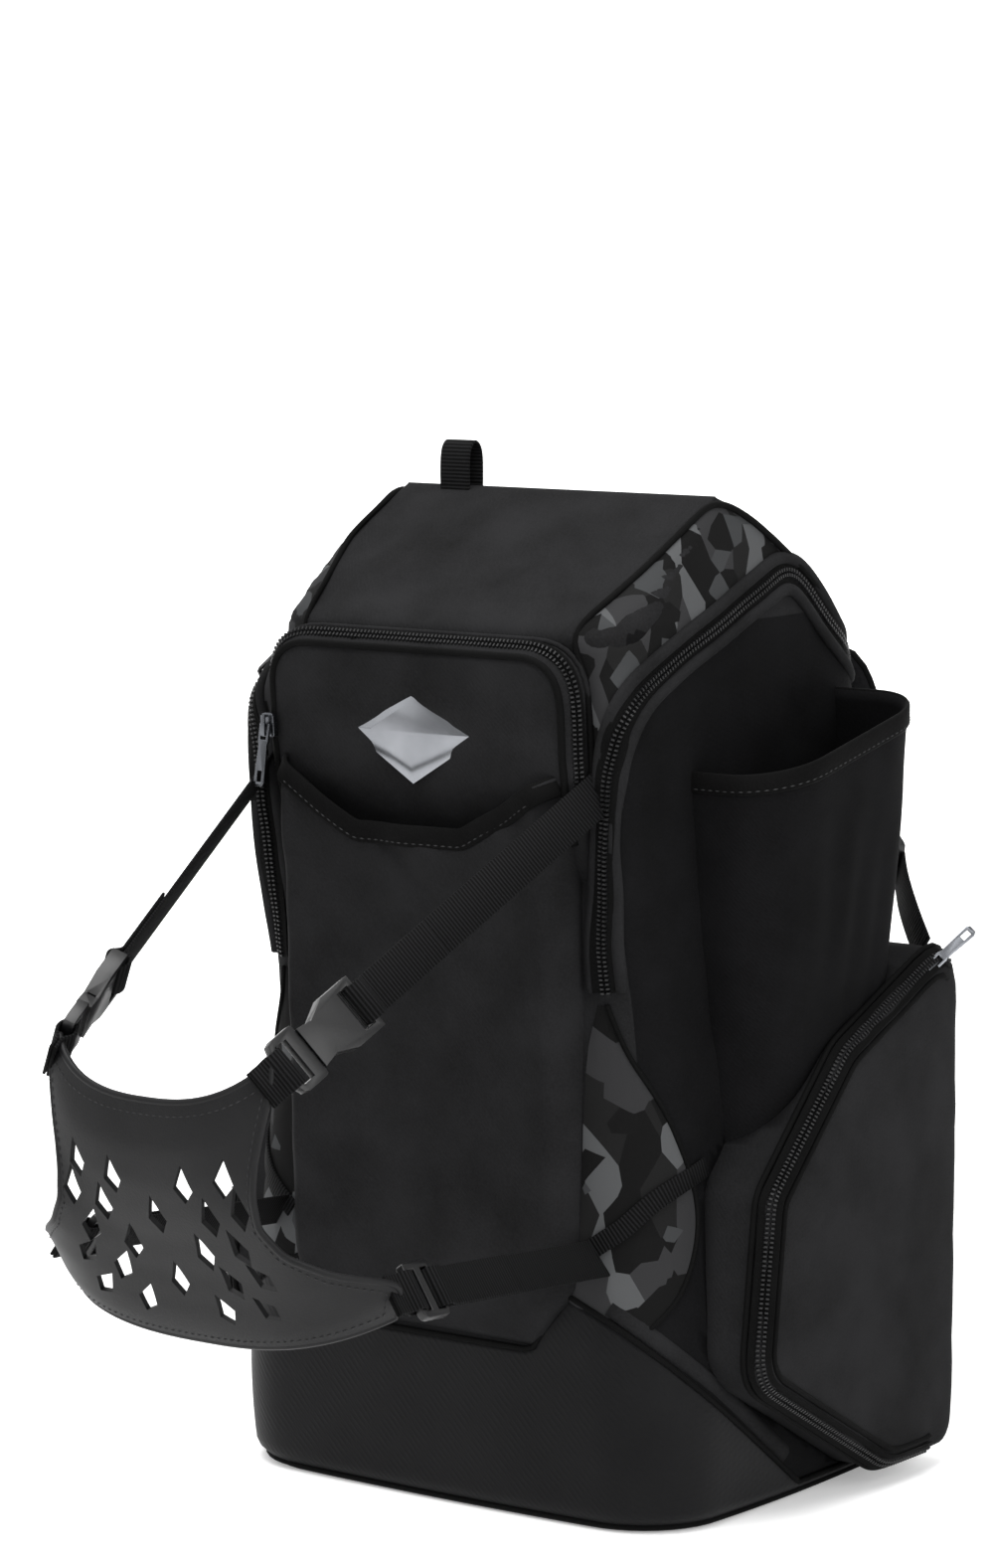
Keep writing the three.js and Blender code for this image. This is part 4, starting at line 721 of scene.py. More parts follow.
# %% Side pockets
puff = [(REACH - 62, 0.0), (REACH - 26, 0.0), (REACH - 12, 0.3), (REACH - 7.5, 1.0), (REACH - 4.5, 2.6),
        (REACH - 2.6, 5.0), (REACH - 1.4, 8.0), (REACH - 0.6, 12.5), (REACH + 0.0, 18.0)]
rings = [side_ring(x, d + 0.3) for x, d in puff]
inner = rings[-1]
for share, rise in ((0.86, 1.0), (0.7, 1.8), (0.52, 2.4), (0.34, 2.8), (0.17, 3.0)):
    rings.append(shrink(inner, share, REACH + rise))
pocket_grid = ruffle(np.array(rings), 1.0, 38.0, 11.0)
side_pocket = grid_piece("side_pocket_panel_right", pocket_grid, twill, "twill", wrap=True,
                         caps=(False, True), middle=(110, 30, 130))
thicken(side_pocket, 1.8)

# %% Side sleeve
SLEEVE = np.array([(0.28, -0.39, 0.72, 0.89), (0.45, -0.42, 0.74, 0.935), (0.6, -0.48, 0.72, 0.985),
                   (0.72, -0.53, 0.7, 1.02), (0.83, -0.55, 0.68, 1.06)])


def sleeve_open_row(z, steps=12):
    """From the bag's side forwards, round the outside and back to the bag: one line of the open sleeve."""
    front, back, reach = (np.interp(z / HEIGHT, SLEEVE[:, 0], SLEEVE[:, i]) for i in (1, 2, 3))
    y0, y1, x1 = front * HALF_DEPTH, back * HALF_DEPTH, reach * 168
    x0 = WELL + 2 if z < 280 else 113.0
    r = 34.0
    turns = np.linspace(0, math.pi / 2, steps)[1:]
    line = [(x, y0) for x in np.linspace(x0, x1 - r, 10)]
    line += [(x1 - r + r * math.sin(a), y0 + r - r * math.cos(a)) for a in turns]
    line += [(x1, y) for y in np.linspace(y0 + r, y1 - r, 16)[1:]]
    line += [(x1 - r + r * math.cos(a), y1 - r + r * math.sin(a)) for a in turns]
    line += [(x, y1) for x in np.linspace(x1 - r, x0, 10)[1:]]
    flat = np.array(line)
    return np.column_stack([flat, np.full(len(flat), z)])


def rim_height(y):
    return 380 + 20 * (y + 28) / 86


sleeve_rows = []
for k in np.linspace(0, 1, 44):
    top_y = sleeve_open_row(392.0)[:, 1]
    zs = 160 + (rim_height(top_y) - 160) * k
    row = np.array([sleeve_open_row(z)[i] for i, z in enumerate(zs)])
    sleeve_rows.append(row)
sleeve_grid = np.array(sleeve_rows)
for r in range(sleeve_grid.shape[0]):
    for c in range(sleeve_grid.shape[1]):
        p = sleeve_grid[r, c]
        fold = noise.noise(Vector((p[1] / 17, p[0] / 21, p[2] / 95)))
        calm = min(1.0, (sleeve_grid.shape[0] - 1 - r) / 8)
        outward = 1.0 if p[0] > 135 else 0.0
        sleeve_grid[r, c, 0] += 2.4 * fold * calm * outward
sleeve = grid_piece("bat_sleeve_cloth_right", sleeve_grid, sleeve_cloth, "sleeve_cloth",
                    middle=(120, 10, 290))
thicken(sleeve, 2.0)

plug_rows = [sleeve_open_row(z) for z in (160, 205, 250, 300)]
plug = grid_piece("sleeve_cutter", np.array(plug_rows) + np.array([0.3, 0, 0]), twill, "twill", wrap=True,
                  caps=(True, True))
made.pop(plug.name)
cut(side_pocket, plug)
rim_line = sleeve_grid[-1]
rim_away = unit(np.cross(np.gradient(rim_line, axis=0), np.array([0, 0, 1.0])))
if rim_away[len(rim_away) // 2, 0] < 0:
    rim_away = -rim_away
rim = sweep("sleeve_rim_right", rim_line + np.array([0, 0, -4.2]), rim_away, band(10.5, 2.4, -1.6, 0.9),
            binding, "sleeve_cloth")
sleeve_stitch = stitches("sleeve_stitch_right", rim_line + np.array([0, 0, -7.4]), rim_away, low=0.95)
pieces_right = [side_pocket, sleeve, rim, sleeve_stitch]
print("side pocket:", len(side_pocket.data.polygons), "faces; sleeve:", len(sleeve.data.polygons))

# %% [markdown]
# The pocket's zip follows its puffed edge from the back, down the front and under to the foot, between
# two rows of piping.

# %% Side zip and its piping
def side_seam(distance, x):
    """The pocket's outline from its back top round the front to the foot, and the way out of it."""
    steps, per_side, trim = 6, 16, 3
    ring = side_ring(x, distance, steps, per_side)
    block = steps + per_side
    first, last = 3 * block + trim, 8 * block - trim
    line = np.array([ring[i % len(ring)] for i in range(first, last)])
    inner_ring = side_ring(x + 3.0, distance + 3.0, steps, per_side)
    nearer = np.array([inner_ring[i % len(ring)] for i in range(first, last)])
    slope = unit(nearer - line)
    along = unit(np.gradient(line, axis=0))
    away = np.cross(slope, along)
    away[away[:, 0] < 0] *= -1
    return line, unit(away)


zip_path, zip_away = side_seam(3.6, REACH - 4.2)
side_zip = zip_line("side_zip_coil_right", zip_path, zip_away, tape=12.0, low=-0.6)
piping_out, away_out = side_seam(0.2, REACH - 11.5)
piping_in, away_in = side_seam(11.0, REACH - 0.9)
side_piping = join("side_piping_right", [
    sweep("a", piping_out, away_out, cordlike(1.7, -1.4), binding, "twill"),
    sweep("b", piping_in, away_in, cordlike(1.7, -1.6), binding, "twill")])
pieces_right += [side_zip, side_piping]

# %% [markdown]
# ## The boot
# The boot is a tub of coated cloth with a flat floor. It stands half a millimetre proud of the bag, and
# a line of piping closes its top seam. A second line runs along its bottom edge, and a soft fold lies
# above the seam.

# %% Boot
share = np.linspace(0, 1, 26)
boot_heights = (SEAM[None, :]) * share[:, None]
boot_grid = body_grid(boot_heights, 0.5)
floor_ring = boot_grid[0].copy()
boot_rings = [floor_ring * np.array([s, s, 0]) for s in (0.2, 0.5, 0.8, 0.93)] + list(boot_grid)
boot = grid_piece("base_boot_tub", np.array(boot_rings), coated, "coated_cloth", wrap=True,
                  caps=(True, False), middle=(0, 0, 60))
thicken(boot, 1.4)
boot_away = unit(np.column_stack([boot_grid[-1][:, :2], np.zeros(len(boot_grid[-1]))]))
sweep("boot_piping", boot_grid[-1], boot_away, cordlike(1.5, -1.2), binding, "coated_cloth", closed=True)
base_ring = body_grid(np.full((1, len(HALF_COLUMNS)), 3.0), 0.5)[0]
base_away = unit(base_ring * np.array([1, 1, 0]))
sweep("base_piping", base_ring, base_away, cordlike(1.5, -1.3), binding, "coated_cloth", closed=True)
side_columns = [i for i, (kind, t) in enumerate(HALF_COLUMNS)
                if kind in ("front arc", "side") and SEAM[i] > 14]
fold_line = body_grid((SEAM + 8.0)[None, :], 0.0)[0][side_columns[2:]]
fold_away = unit(fold_line * np.array([1, 1, 0]))
FOLD = [(-5, -1.4), (5, -1.4), (4.2, 0.2), (1.5, 1.5), (-2, 1.0), (-4.4, 0.1)]
boot_fold = sweep("boot_fold_right", fold_line, fold_away, FOLD, twill, "twill")
pieces_right.append(boot_fold)
print("boot:", len(boot.data.polygons), "faces")

# %% [markdown]
# ## Front pockets
# The upper pocket is a zipped box with a slightly crowned face. The lower one is open at the top, where
# its rim dips in the middle and a strip of binding finishes it.

# %% Upper front pocket
POCKET_HALF, POCKET_FOOT, POCKET_TOP = 96, 322, 440
pocket_corners = [(-POCKET_HALF, POCKET_FOOT), (POCKET_HALF, POCKET_FOOT), (POCKET_HALF, POCKET_TOP),
                  (-POCKET_HALF, POCKET_TOP)]
WALL_ROWS = [(0.3, -14), (0.3, 1), (0.7, 5), (2.0, 9), (3.8, 12.2), (5.6, 14.6), (7.2, 16.2), (9, 17.0),
             (11.5, 17.4), (14, 17.6)]


def pocket_fade(z):
    """The pocket grows thinner towards its foot, where the lower pocket starts."""
    return np.interp(z, [POCKET_FOOT, 346, 366, 385], [0.1, 0.5, 0.86, 1.0])


def pocket_ring(distance, rise, steps=8, per_side=20):
    radii = [max(12 - distance, 3)] * 2 + [max(30 - distance * 0.8, 6)] * 2
    flat = rounded(inset(pocket_corners, distance), radii, steps, per_side)
    y = front_face(flat[:, 1]) - np.where(rise > 0, rise * pocket_fade(flat[:, 1]), rise)
    return np.column_stack([flat[:, 0], y, flat[:, 1]])


pocket_rows = [pocket_ring(d, r) for d, r in WALL_ROWS]
last = pocket_rows[-1]
for share_, rise_ in ((0.9, 18.0), (0.76, 18.6), (0.6, 19.1), (0.44, 19.4), (0.28, 19.6), (0.13, 19.7)):
    middle = last.mean(axis=0)
    ring = middle + (last - middle) * share_
    ring[:, 1] = front_face(ring[:, 2]) - rise_ * pocket_fade(ring[:, 2])
    pocket_rows.append(ring)
front_grid = ruffle(np.array(pocket_rows), 0.7, 34.0, 21.0)
front_pocket = grid_piece("front_pocket_panel", front_grid, twill, "twill", wrap=True, caps=(False, True),
                          middle=(0, -60, 385))

# %% Lower front pocket
def rim_of(x):
    return float(np.interp(abs(x), [0, 32, 54.4, 88], [345, 345, 357, 377]))


def foot_of(x):
    return float(np.interp(abs(x), [0, 64, 88], [90, 90, 120]))


def lower_depth(v):
    return float(np.interp(v, [0, 0.08, 0.3, 0.6, 0.85, 1.0], [0.3, 0.62, 0.92, 1.12, 1.3, 1.35])) * 19


across = np.sin(np.linspace(-1, 1, 97) * math.pi / 2 * 0.999)
lower_rows = []
for v in np.linspace(0, 1, 80):
    row = []
    for s in across:
        x = 88 * s
        z = foot_of(x) * (1 - v) + rim_of(x) * v
        edge = min(1.0, (88 - abs(x)) / 11)
        lift = lower_depth((z - 90) / 287) * math.sqrt(max(1 - (1 - edge) ** 2, 0))
        near_foot = min(1.0, (z - foot_of(x)) / 14)
        lift *= 0.25 + 0.75 * math.sqrt(max(1 - (1 - near_foot) ** 2, 0))
        crease = noise.noise(Vector(((x + 0.9 * z) / 26, (z - 0.8 * x) / 95, 4.0)))
        sag = 3.4 * crease * min(1, (z - 90) / 60) * edge * (0.4 + 0.9 * v)
        row.append((x, front_face(z) + 1.0 * (1 - edge) * 4 - lift - sag, z))
    lower_rows.append(row)
lower_grid = np.array(lower_rows)
lower_pocket = grid_piece("lower_front_pocket_panel", lower_grid, twill, "twill", middle=(0, -60, 220))
thicken(lower_pocket, 1.6)
rim_path = evenly(lower_grid[-1], 3.0) + np.array([0, 0, -4.0])
rim_ways = unit(rim_path * np.array([0.1 / 88, 0, 0]) + np.array([0, -1.0, 0]))
sweep("lower_pocket_binding", rim_path, rim_ways, band(11, 2.2, -1.2, 0.8), binding, "twill")
stitches("lower_pocket_stitch", rim_path + np.array([0, 0, -3.6]), rim_ways, low=0.95)
print("front pockets:", len(front_pocket.data.polygons), len(lower_pocket.data.polygons), "faces")

# %% [markdown]
# ## Camouflage gussets, main zip and piping
# Panels of another cloth are laid on the bag as thin sheets between two drawn lines, and piping covers
# the lines.

# %% Gusset panels
def length_of(line):
    return np.linalg.norm(np.diff(line, axis=0), axis=1).sum()


def panel(name, inner_line, outer_line, material, lift=0.55, step=4.0, across_steps=14):
    a, b = through(inner_line, 1.0), through(outer_line, 1.0)
    count = int(max(length_of(a), length_of(b)) / step)
    a, b = (line[np.round(np.linspace(0, len(line) - 1, count)).astype(int)] for line in (a, b))
    grid = []
    for k in np.linspace(0, 1, across_steps):
        spots, ways = on_bag(a * (1 - k) + b * k)
        grid.append(spots + ways * lift)
    return grid_piece(name, np.array(grid), material, "twill", middle=(0, 0, 300))


MAIN_ZIP = [
    (104, -119, 266), (103, -120, 300), (103, -121, 330), (105, -122, 354), (109, -123, 374),
    (113, -121, 388), (117, -113, 403), (120, -103, 415), (121, -80, 426), (121, -57, 436),
    (121, -35, 444), (121, -5, 456),
    (121, 22, 466), (120, 34, 467), (120, 45, 461), (120, 58, 448), (119, 70, 437), (118, 82, 428),
    (115, 90, 421), (110, 98, 416), (104, 104, 413), (96, 110, 412), (80, 110, 411), (0, 110, 411)]
LID_EDGE = [
    (97, -112, 362), (97, -113, 396), (95, -113, 420), (90, -114, 433), (86, -113, 440), (91, -99, 452),
    (96, -86, 463), (101, -72, 474), (105, -54, 487), (107, -38, 497), (107, -22, 503), (110, 2, 494),
    (112, 22, 482), (113, 46, 466), (113, 66, 450)]
GUSSET_LINE = [
    (100, -113, 362), (104, -119, 380), (110, -117, 397), (117, -106, 411), (120, -90, 426),
    (120, -72, 436), (120, -50, 446), (120, -28, 455), (120, -5, 464), (119, 18, 473),
    (118, 34, 475), (118, 50, 462), (118, 66, 447)]
camo_top = panel("camo_gusset_top_right", LID_EDGE, GUSSET_LINE, camo)
CORNER_LEFT = [
    (80, -114, 117), (88, -112, 128), (89, -112, 160), (89, -111, 200), (92, -111, 240),
    (97, -112, 262)]
CORNER_RIGHT = [
    (110, -104, 92), (131, -84, 120), (132, -70, 160), (126, -84, 205), (112, -103, 240),
    (103, -111, 262)]
camo_corner = panel("camo_gusset_corner_right", CORNER_LEFT, CORNER_RIGHT, camo)
pieces_right += [camo_top, camo_corner]

edge_line, edge_away = seat(LID_EDGE, 0.2)
lid_piping = sweep("lid_piping_right", edge_line, edge_away, cordlike(1.8, -0.6), binding, "twill")
corner_line, corner_away = seat(CORNER_RIGHT, 0.2)
corner_piping = sweep("corner_piping_right", corner_line, corner_away, cordlike(1.3, -0.6), binding,
                      "twill")
pieces_right += [lid_piping, corner_piping]

# %% Main zip and its padded welts
half_line, half_away = seat(MAIN_ZIP, 0.0, step=3.0)
full_line, full_away = (np.concatenate([half, half[:-1][::-1] * np.array([-1, 1, 1])])
                        for half in (half_line, half_away))
main_zip = zip_line("main_zip_coil", full_line, full_away, tape=13.0, low=0.5)
_, side_way, _ = frames(full_line, full_away)
welts = []
for name, offset in (("welt_a", 8.2), ("welt_b", -8.2)):
    spots, _ = on_bag(full_line + side_way * offset)
    for _ in range(6):
        spots[1:-1] = spots[1:-1] * 0.5 + (spots[:-2] + spots[2:]) * 0.25
    welts.append(sweep(name, spots, full_away, cordlike(3.4, -1.9, 10, 0.8), twill, "zip_coil"))
join("main_zip_welts", welts)
print("main zip:", len(main_zip.data.polygons), "faces")

# %% [markdown]
# The upper pocket's zip is sewn round its edge, and the badge is a plain faceted plate.

# %% Pocket zip
def pocket_line(distance, rise, trim):
    """The pocket's edge, up its left side, over and down its right, and the way out of its wall."""
    block, line, beyond = 28, [], []
    for target, d, r in ((line, distance, rise), (beyond, distance + 1.5, rise + 1.6)):
        ring = pocket_ring(d, r, 8, 20)
        target += [ring[i % len(ring)] for i in range(block + 8 + trim, 4 * block - trim)]
    line, beyond = np.array(line), np.array(beyond)
    along = unit(np.gradient(line, axis=0))
    away = unit(np.cross(along, unit(beyond - line)))
    outwards = line - np.array([0, -100, 385])
    away[np.sum(away * outwards, axis=1) < 0] *= -1
    return line, away


pocket_zip_line, pocket_ways = pocket_line(2.6, 10.4, 8)
zip_line("pocket_zip_coil", pocket_zip_line, pocket_ways, tape=8.0, low=-0.4)
edge_of_face, face_ways = pocket_line(7.6, 16.5, 2)
wall_foot, foot_ways = pocket_line(0.2, 2.5, 2)
join("pocket_piping", [
    sweep("face_piping", edge_of_face, face_ways, cordlike(1.9, -1.5), binding, "twill"),
    sweep("wall_piping", wall_foot, foot_ways, cordlike(1.5, -1.2), twill, "twill")])

# %% [markdown]
# ## The front sling
# The sling is one sheet of synthetic leather, cut to a shape that can wrap something round. It is a
# blunt dome read by an angle and a height, and its outline is a table of rows. Kite-shaped holes are
# cut right through it.

# %% Sling surface
SLING_ROWS = np.array([
    (0.0, 0.3, 0.475, 28), (0.1, 0.19, 0.33, 27.5), (0.24, 0.04, 0.14, 27),
    (0.38, -0.12, 0.0, 27.5), (0.52, -0.29, -0.16, 30), (0.66, -0.46, -0.29, 37),
    (0.78, -0.6, -0.38, 50), (0.88, -0.7, -0.44, 70), (1.0, -0.81, -0.62, 71)])
# columns: how far down; how narrow the sheet is; how far its middle is drawn back towards the bag
SLING_PULL = np.array([
    (0.0, 1.0, 0.0), (0.07, 1.0, 0.0), (0.16, 0.94, 0.0), (0.28, 0.88, 0.03), (0.4, 0.85, 0.08),
    (0.52, 0.84, 0.14), (0.66, 0.88, 0.18), (0.78, 0.95, 0.18), (0.9, 1.0, 0.15), (1.0, 1.0, 0.12)])
SLING_MIDDLE, SLING_HALF, SLING_REACH, RISE, DROP, SLING_THICK = (0, -220, 200), 112, 112, 130, 100, 3.0


def sling_at(u, v, offset):
    angle = math.radians(np.interp(v, SLING_ROWS[:, 0], SLING_ROWS[:, 3])) * u
    to_mm = lambda s: s * (RISE if s > 0 else DROP)
    middle, end = (to_mm(np.interp(v, SLING_ROWS[:, 0], SLING_ROWS[:, i])) for i in (1, 2))
    rise = middle + (end - middle) * abs(u) ** 1.7
    part = abs(rise) / (RISE if rise > 0 else DROP)
    level = max(1 - part**2.5, 0) ** 0.4
    sine = math.sin(angle)
    x = (SLING_HALF * level + offset) * math.copysign(abs(sine) ** (2 / 3), sine)
    y = (SLING_REACH * level + offset) * abs(math.cos(angle)) ** (2 / 3)
    lean = 0.15 if rise > 0 else -0.55
    narrow, drawn = (np.interp(v, SLING_PULL[:, 0], SLING_PULL[:, i]) for i in (1, 2))
    y *= 1 - drawn * (1 - u * u)
    return np.array([x * narrow, SLING_MIDDLE[1] - y, SLING_MIDDLE[2] + rise + offset * lean * part])


def smooth_grid(grid, times=2):
    for _ in range(times):
        grid[1:-1] = grid[1:-1] * 0.5 + (grid[:-2] + grid[2:]) * 0.25
    return grid


sling_grid = smooth_grid(np.array([[sling_at(u, v, SLING_THICK) for u in np.linspace(-1, 1, 101)]
                                   for v in np.linspace(0, 1, 61)]), 3)
SLING_INSIDE = (0, -180, 200)
sling = grid_piece("sling_sheet", sling_grid, leather, "sling_cloth", middle=SLING_INSIDE)


thicken(sling, 2.8)

# %% Holes in the sling
HOLE_ROWS = [
    (0.27, 4, 0.42, 10), (0.41, 5, 0.4, 11), (0.55, 4, 0.4, 11), (0.68, 5, 0.3, 10),
    (0.8, 4, 0.26, 9)]
HOLE_HALF = 5.5
CUT_DEPTH = 12
cutters = []
for v, count, spacing, tall in HOLE_ROWS:
    for i in range(count):
        u = (i - (count - 1) / 2) * spacing
        at = sling_at(u, v, SLING_THICK / 2)
        right = unit(sling_at(u + 0.02, v, SLING_THICK / 2) - at)
        down = unit(sling_at(u, v + 0.02, SLING_THICK / 2) - at)
        away = unit(np.cross(down, right))
        side = np.cross(away, down)
        kite = [(-tall, 0), (tall * 0.25, -HOLE_HALF), (tall, 0), (tall * 0.25, HOLE_HALF)]
        ring_low = [at + down * a + side * b - away * CUT_DEPTH for a, b in kite]
        ring_high = [at + down * a + side * b + away * CUT_DEPTH for a, b in kite]
        cutters.append(grid_piece(f"hole_{len(cutters)}", np.array([ring_low, ring_high]), leather,
                                  "sling_cloth", wrap=True, caps=(True, True)))
hole_cutter = join("hole_cutter", cutters)
made.pop("hole_cutter")
cut(sling, hole_cutter, solver="MANIFOLD")
apply_modifier(sling, "BEVEL", width=0.35 * MM, segments=1, limit_method="ANGLE",
               angle_limit=math.radians(50))
smooth_by_angle(sling, 40)
print("sling:", len(sling.data.polygons), "faces,", len(cutters), "holes")

# %% Sling edge binding and stitching
rim_loop = np.concatenate([sling_grid[0], sling_grid[1:-1, -1], sling_grid[-1][::-1],
                           sling_grid[1:-1, 0][::-1]])
loop_away = unit(rim_loop - np.array(SLING_INSIDE))
sling_edge = sweep("sling_edge", rim_loop - loop_away * 1.4, loop_away, cordlike(1.9, -1.9, 8), leather,
                   "sling_cloth", closed=True)
inner_loop = np.array([sling_at(u * 0.93, 0.045, SLING_THICK) for u in np.linspace(-1, 1, 80)]
                      + [sling_at(0.93, v, SLING_THICK) for v in np.linspace(0.06, 0.95, 80)]
                      + [sling_at(u * 0.93, 0.965, SLING_THICK) for u in np.linspace(1, -1, 80)]
                      + [sling_at(-0.93, v, SLING_THICK) for v in np.linspace(0.95, 0.06, 80)])
sling_stitch = stitches("sling_stitch", inner_loop, unit(inner_loop - np.array(SLING_INSIDE)), low=0.05,
                        pitch=4.0)

# %% [markdown]
# ## Webbing
# A strap is a band of webbing that goes round a bar of its buckle and doubles back. The frame's buckles
# fix the route: local axes run along the strap, across it, and away from what it lies on.

# %% Local frames of the sling's straps
def local_frame(origin, along, away):
    x = unit(np.array(along, float))
    z = np.array(away, float)
    z = unit(z - x * (z @ x))
    y = np.cross(z, x)
    return np.array(origin, float), np.array([x, y, z])


def to_world(frame_, points):
    origin, axes = frame_
    return origin + np.array(points, float) @ axes


STEM, LENGTH, STRAP, T = 9.0, 17 + 0.35 + 38, 20.0, 1.8
corner_upper, corner_lower = sling_at(1, 0.05, SLING_THICK / 2), sling_at(1, 0.92, SLING_THICK / 2)
anchor_upper, anchor_lower = np.array([104.0, -108, 371]), np.array([100.0, -104, 138])
along_upper, along_lower = unit(anchor_upper - corner_upper), unit(anchor_lower - corner_lower)
upper = local_frame(corner_upper + along_upper * STEM, along_upper, (0.8, -0.25, 0.45))
lower = local_frame(corner_lower + along_lower * STEM, along_lower, (0.75, -0.3, 0.55))


def strap_round_bar(name, frame_, start, direction, bar, deep, reach, tail, width=STRAP):
    """Webbing that comes along from reach, goes round a bar at start and returns as a tail."""
    level, far = deep + 0.6 + T / 2, bar + 0.6 + T / 2
    line = [(-reach, -0.55 * T), (-14, -0.55 * T), (-7, -0.6 * T), (-2.5, -level), (bar * 0.5, -level),
            (far, -level * 0.55), (far, level * 0.55), (bar * 0.5, level), (-2.5, level), (-7, 0.75 * T),
            (-14, 0.6 * T), (-tail, 0.6 * T)]
    points = [(start + direction * x, 0, z) for x, z in line]
    path = through(points, 1.6)
    turn = np.gradient(path[:, [0, 2]], axis=0)
    normal = unit(np.column_stack([-turn[:, 1], np.zeros(len(path)), turn[:, 0]]))
    world = to_world(frame_, path)
    aways = normal @ frame_[1]
    return sweep(name, world, aways, band(width, T * 0.8, -T * 0.4, 0.3), webbing, "webbing")


strap_upper = strap_round_bar("sling_webbing_upper_right", upper, LENGTH, -1, 3.2, 4.0,
                              float(np.linalg.norm(anchor_upper - corner_upper)) - STEM - LENGTH + 2, 52)
tab_upper = strap_round_bar("sling_tab_webbing_upper_right", upper, 0.0, 1, 3.2, 2.72, 15, 15)
strap_lower = strap_round_bar("sling_webbing_lower_right", lower, 20.0, -1, 2.6, 2.2,
                              float(np.linalg.norm(anchor_lower - corner_lower)) - STEM - 20 + 2, 60)
tab_lower = strap_round_bar("sling_tab_webbing_lower_right", lower, 0.0, 1, 2.6, 2.2, 15, 15)
pieces_right += [strap_upper, tab_upper, strap_lower, tab_lower]

# %% Corner strap, hanging loop
CORNER_STRAP = [
    (92, -114, 139), (104, -108, 148), (111, -105, 153), (122, -94, 166), (130, -80, 174),
    (134, -62, 180)]
line, ways = seat(CORNER_STRAP, 0.9, step=2.0)
corner_strap = sweep("corner_webbing_right", line, ways, band(10, 1.3), webbing, "webbing")
pieces_right.append(corner_strap)

foot, middle_y, loop_x = HEIGHT - 12, -19.4, -51
loop_line = through([(loop_x, middle_y + y, foot + z) for y, z in
                     ((-4, -2), (-5.5, 18), (-4.5, 31), (0, 35.5), (5, 31), (6, 18), (5, -6))], 1.5)
loop_out = unit(np.cross(np.gradient(loop_line, axis=0), np.array([1.0, 0, 0])))
sweep("hanging_loop_webbing", loop_line, loop_out, band(18.5, 1.5, -0.75), webbing, "webbing")

# %% [markdown]
# ## The back: padding and shoulder straps
# Padding is foam between a cloth face and the bag. Its edge is rounded and a seam pulls it in along
# channels.

# %% Back pad
pad_corners = [(-96, 34), (96, 34), (82.6, 392), (-82.6, 392)]


def pad_ring(distance, y):
    flat = rounded(inset(pad_corners, distance), [max(30 - distance * 0.5, 8)] * 4, 8, 26)
    return np.column_stack([flat[:, 0], np.full(len(flat), y), flat[:, 1]])


PAD_WALL = [(0, -6), (0, 6), (0.6, 9.5), (2.2, 12), (5, 13.2), (9, 13.8), (16, 14)]
pad_rows = [pad_ring(d, 108 + r) for d, r in PAD_WALL]
outer = pad_rows[-1]
for s in (0.93, 0.86, 0.79, 0.72, 0.65, 0.58, 0.51, 0.44, 0.37, 0.3, 0.23, 0.16, 0.09):
    middle = outer.mean(axis=0)
    pad_rows.append(middle + (outer - middle) * s)
pad_grid = np.array(pad_rows)
for r in range(len(PAD_WALL), len(pad_rows)):
    for c in range(pad_grid.shape[1]):
        x, _, z = pad_grid[r, c]
        channel = min(abs(abs(x) - 30), abs(z - 130), abs(z - 300))
        pad_grid[r, c, 1] -= 5.0 * math.exp(-(channel / 6.5) ** 2)
grid_piece("back_padding", pad_grid, air_mesh, "air_mesh", wrap=True, caps=(False, True), middle=(0, 90, 210))

# %% Shoulder straps
SHOULDER = [(46, 98, 394), (50, 117, 400), (56, 130, 407), (64, 138, 401), (71, 140, 384), (82, 138, 352),
            (90, 141, 330), (98, 146, 313)]
shoulder_line = through(SHOULDER, 5.0)
taper = 1 - 0.52 * soft_step(-shoulder_line[:, 2], -385, -318) * (shoulder_line[:, 1] > 130)
across_way = np.tile(np.array([1.0, 0.08, 0.05]), (len(shoulder_line), 1))
shoulder_away = unit(np.cross(np.gradient(shoulder_line, axis=0), across_way))
w, t = 28.5, 6.0
pad_profile = [(-w, -1.2), (-w + 2.5, -3.6), (-w + 9, -5.6), (-w * 0.3, -t), (w * 0.3, -t), (w - 9, -5.6),
               (w - 2.5, -3.6), (w, -1.2), (w, 1.2), (w - 2.5, 3.6), (w - 9, 5.6), (w * 0.3, t),
               (-w * 0.3, t), (-w + 9, 5.6), (-w + 2.5, 3.6), (-w, 1.2)]
shoulder = sweep("shoulder_padding_right", shoulder_line, shoulder_away, pad_profile, air_mesh, "air_mesh",
                 widths=taper)
_, shoulder_side, _ = frames(shoulder_line, shoulder_away)
shoulder_edges = join("shoulder_binding_right", [
    sweep(f"edge_{sign}", shoulder_line + shoulder_side * (w * sign) * taper[:, None], shoulder_away,
          cordlike(1.9, -1.9), binding, "air_mesh") for sign in (1, -1)])
strap_end, strap_aim = np.array([101.0, 148, 312]), np.array([128.0, 132, 294])
along_adjust = unit(strap_aim - strap_end)
adjust = local_frame(strap_end - along_adjust * 3.9, along_adjust, (0.2, 1, 0.2))
strap_start = to_world(adjust, [(12.0, 0, 2.6), (18.0, 0, 2.4), (24.0, 0, 0.4)])
strap_route = through([*strap_start, (127, 126, 293), (139, 115, 281), (150, 108, 268)], 3.0)
strap_webbing = sweep("shoulder_webbing_right", strap_route, np.tile(adjust[1][2], (len(strap_route), 1)),
                      band(STRAP, 1.5, -0.7), webbing, "webbing")
pieces_right += [shoulder, shoulder_edges, strap_webbing]
print("straps made")

# %% [markdown]
# ## Hard pieces
# The buckles, sliders, pulls and badge have the right shape in the frame already. Each one is copied,
# its triangles are merged into clean faces, and its edges get the small round that a moulded or cast
# piece has.

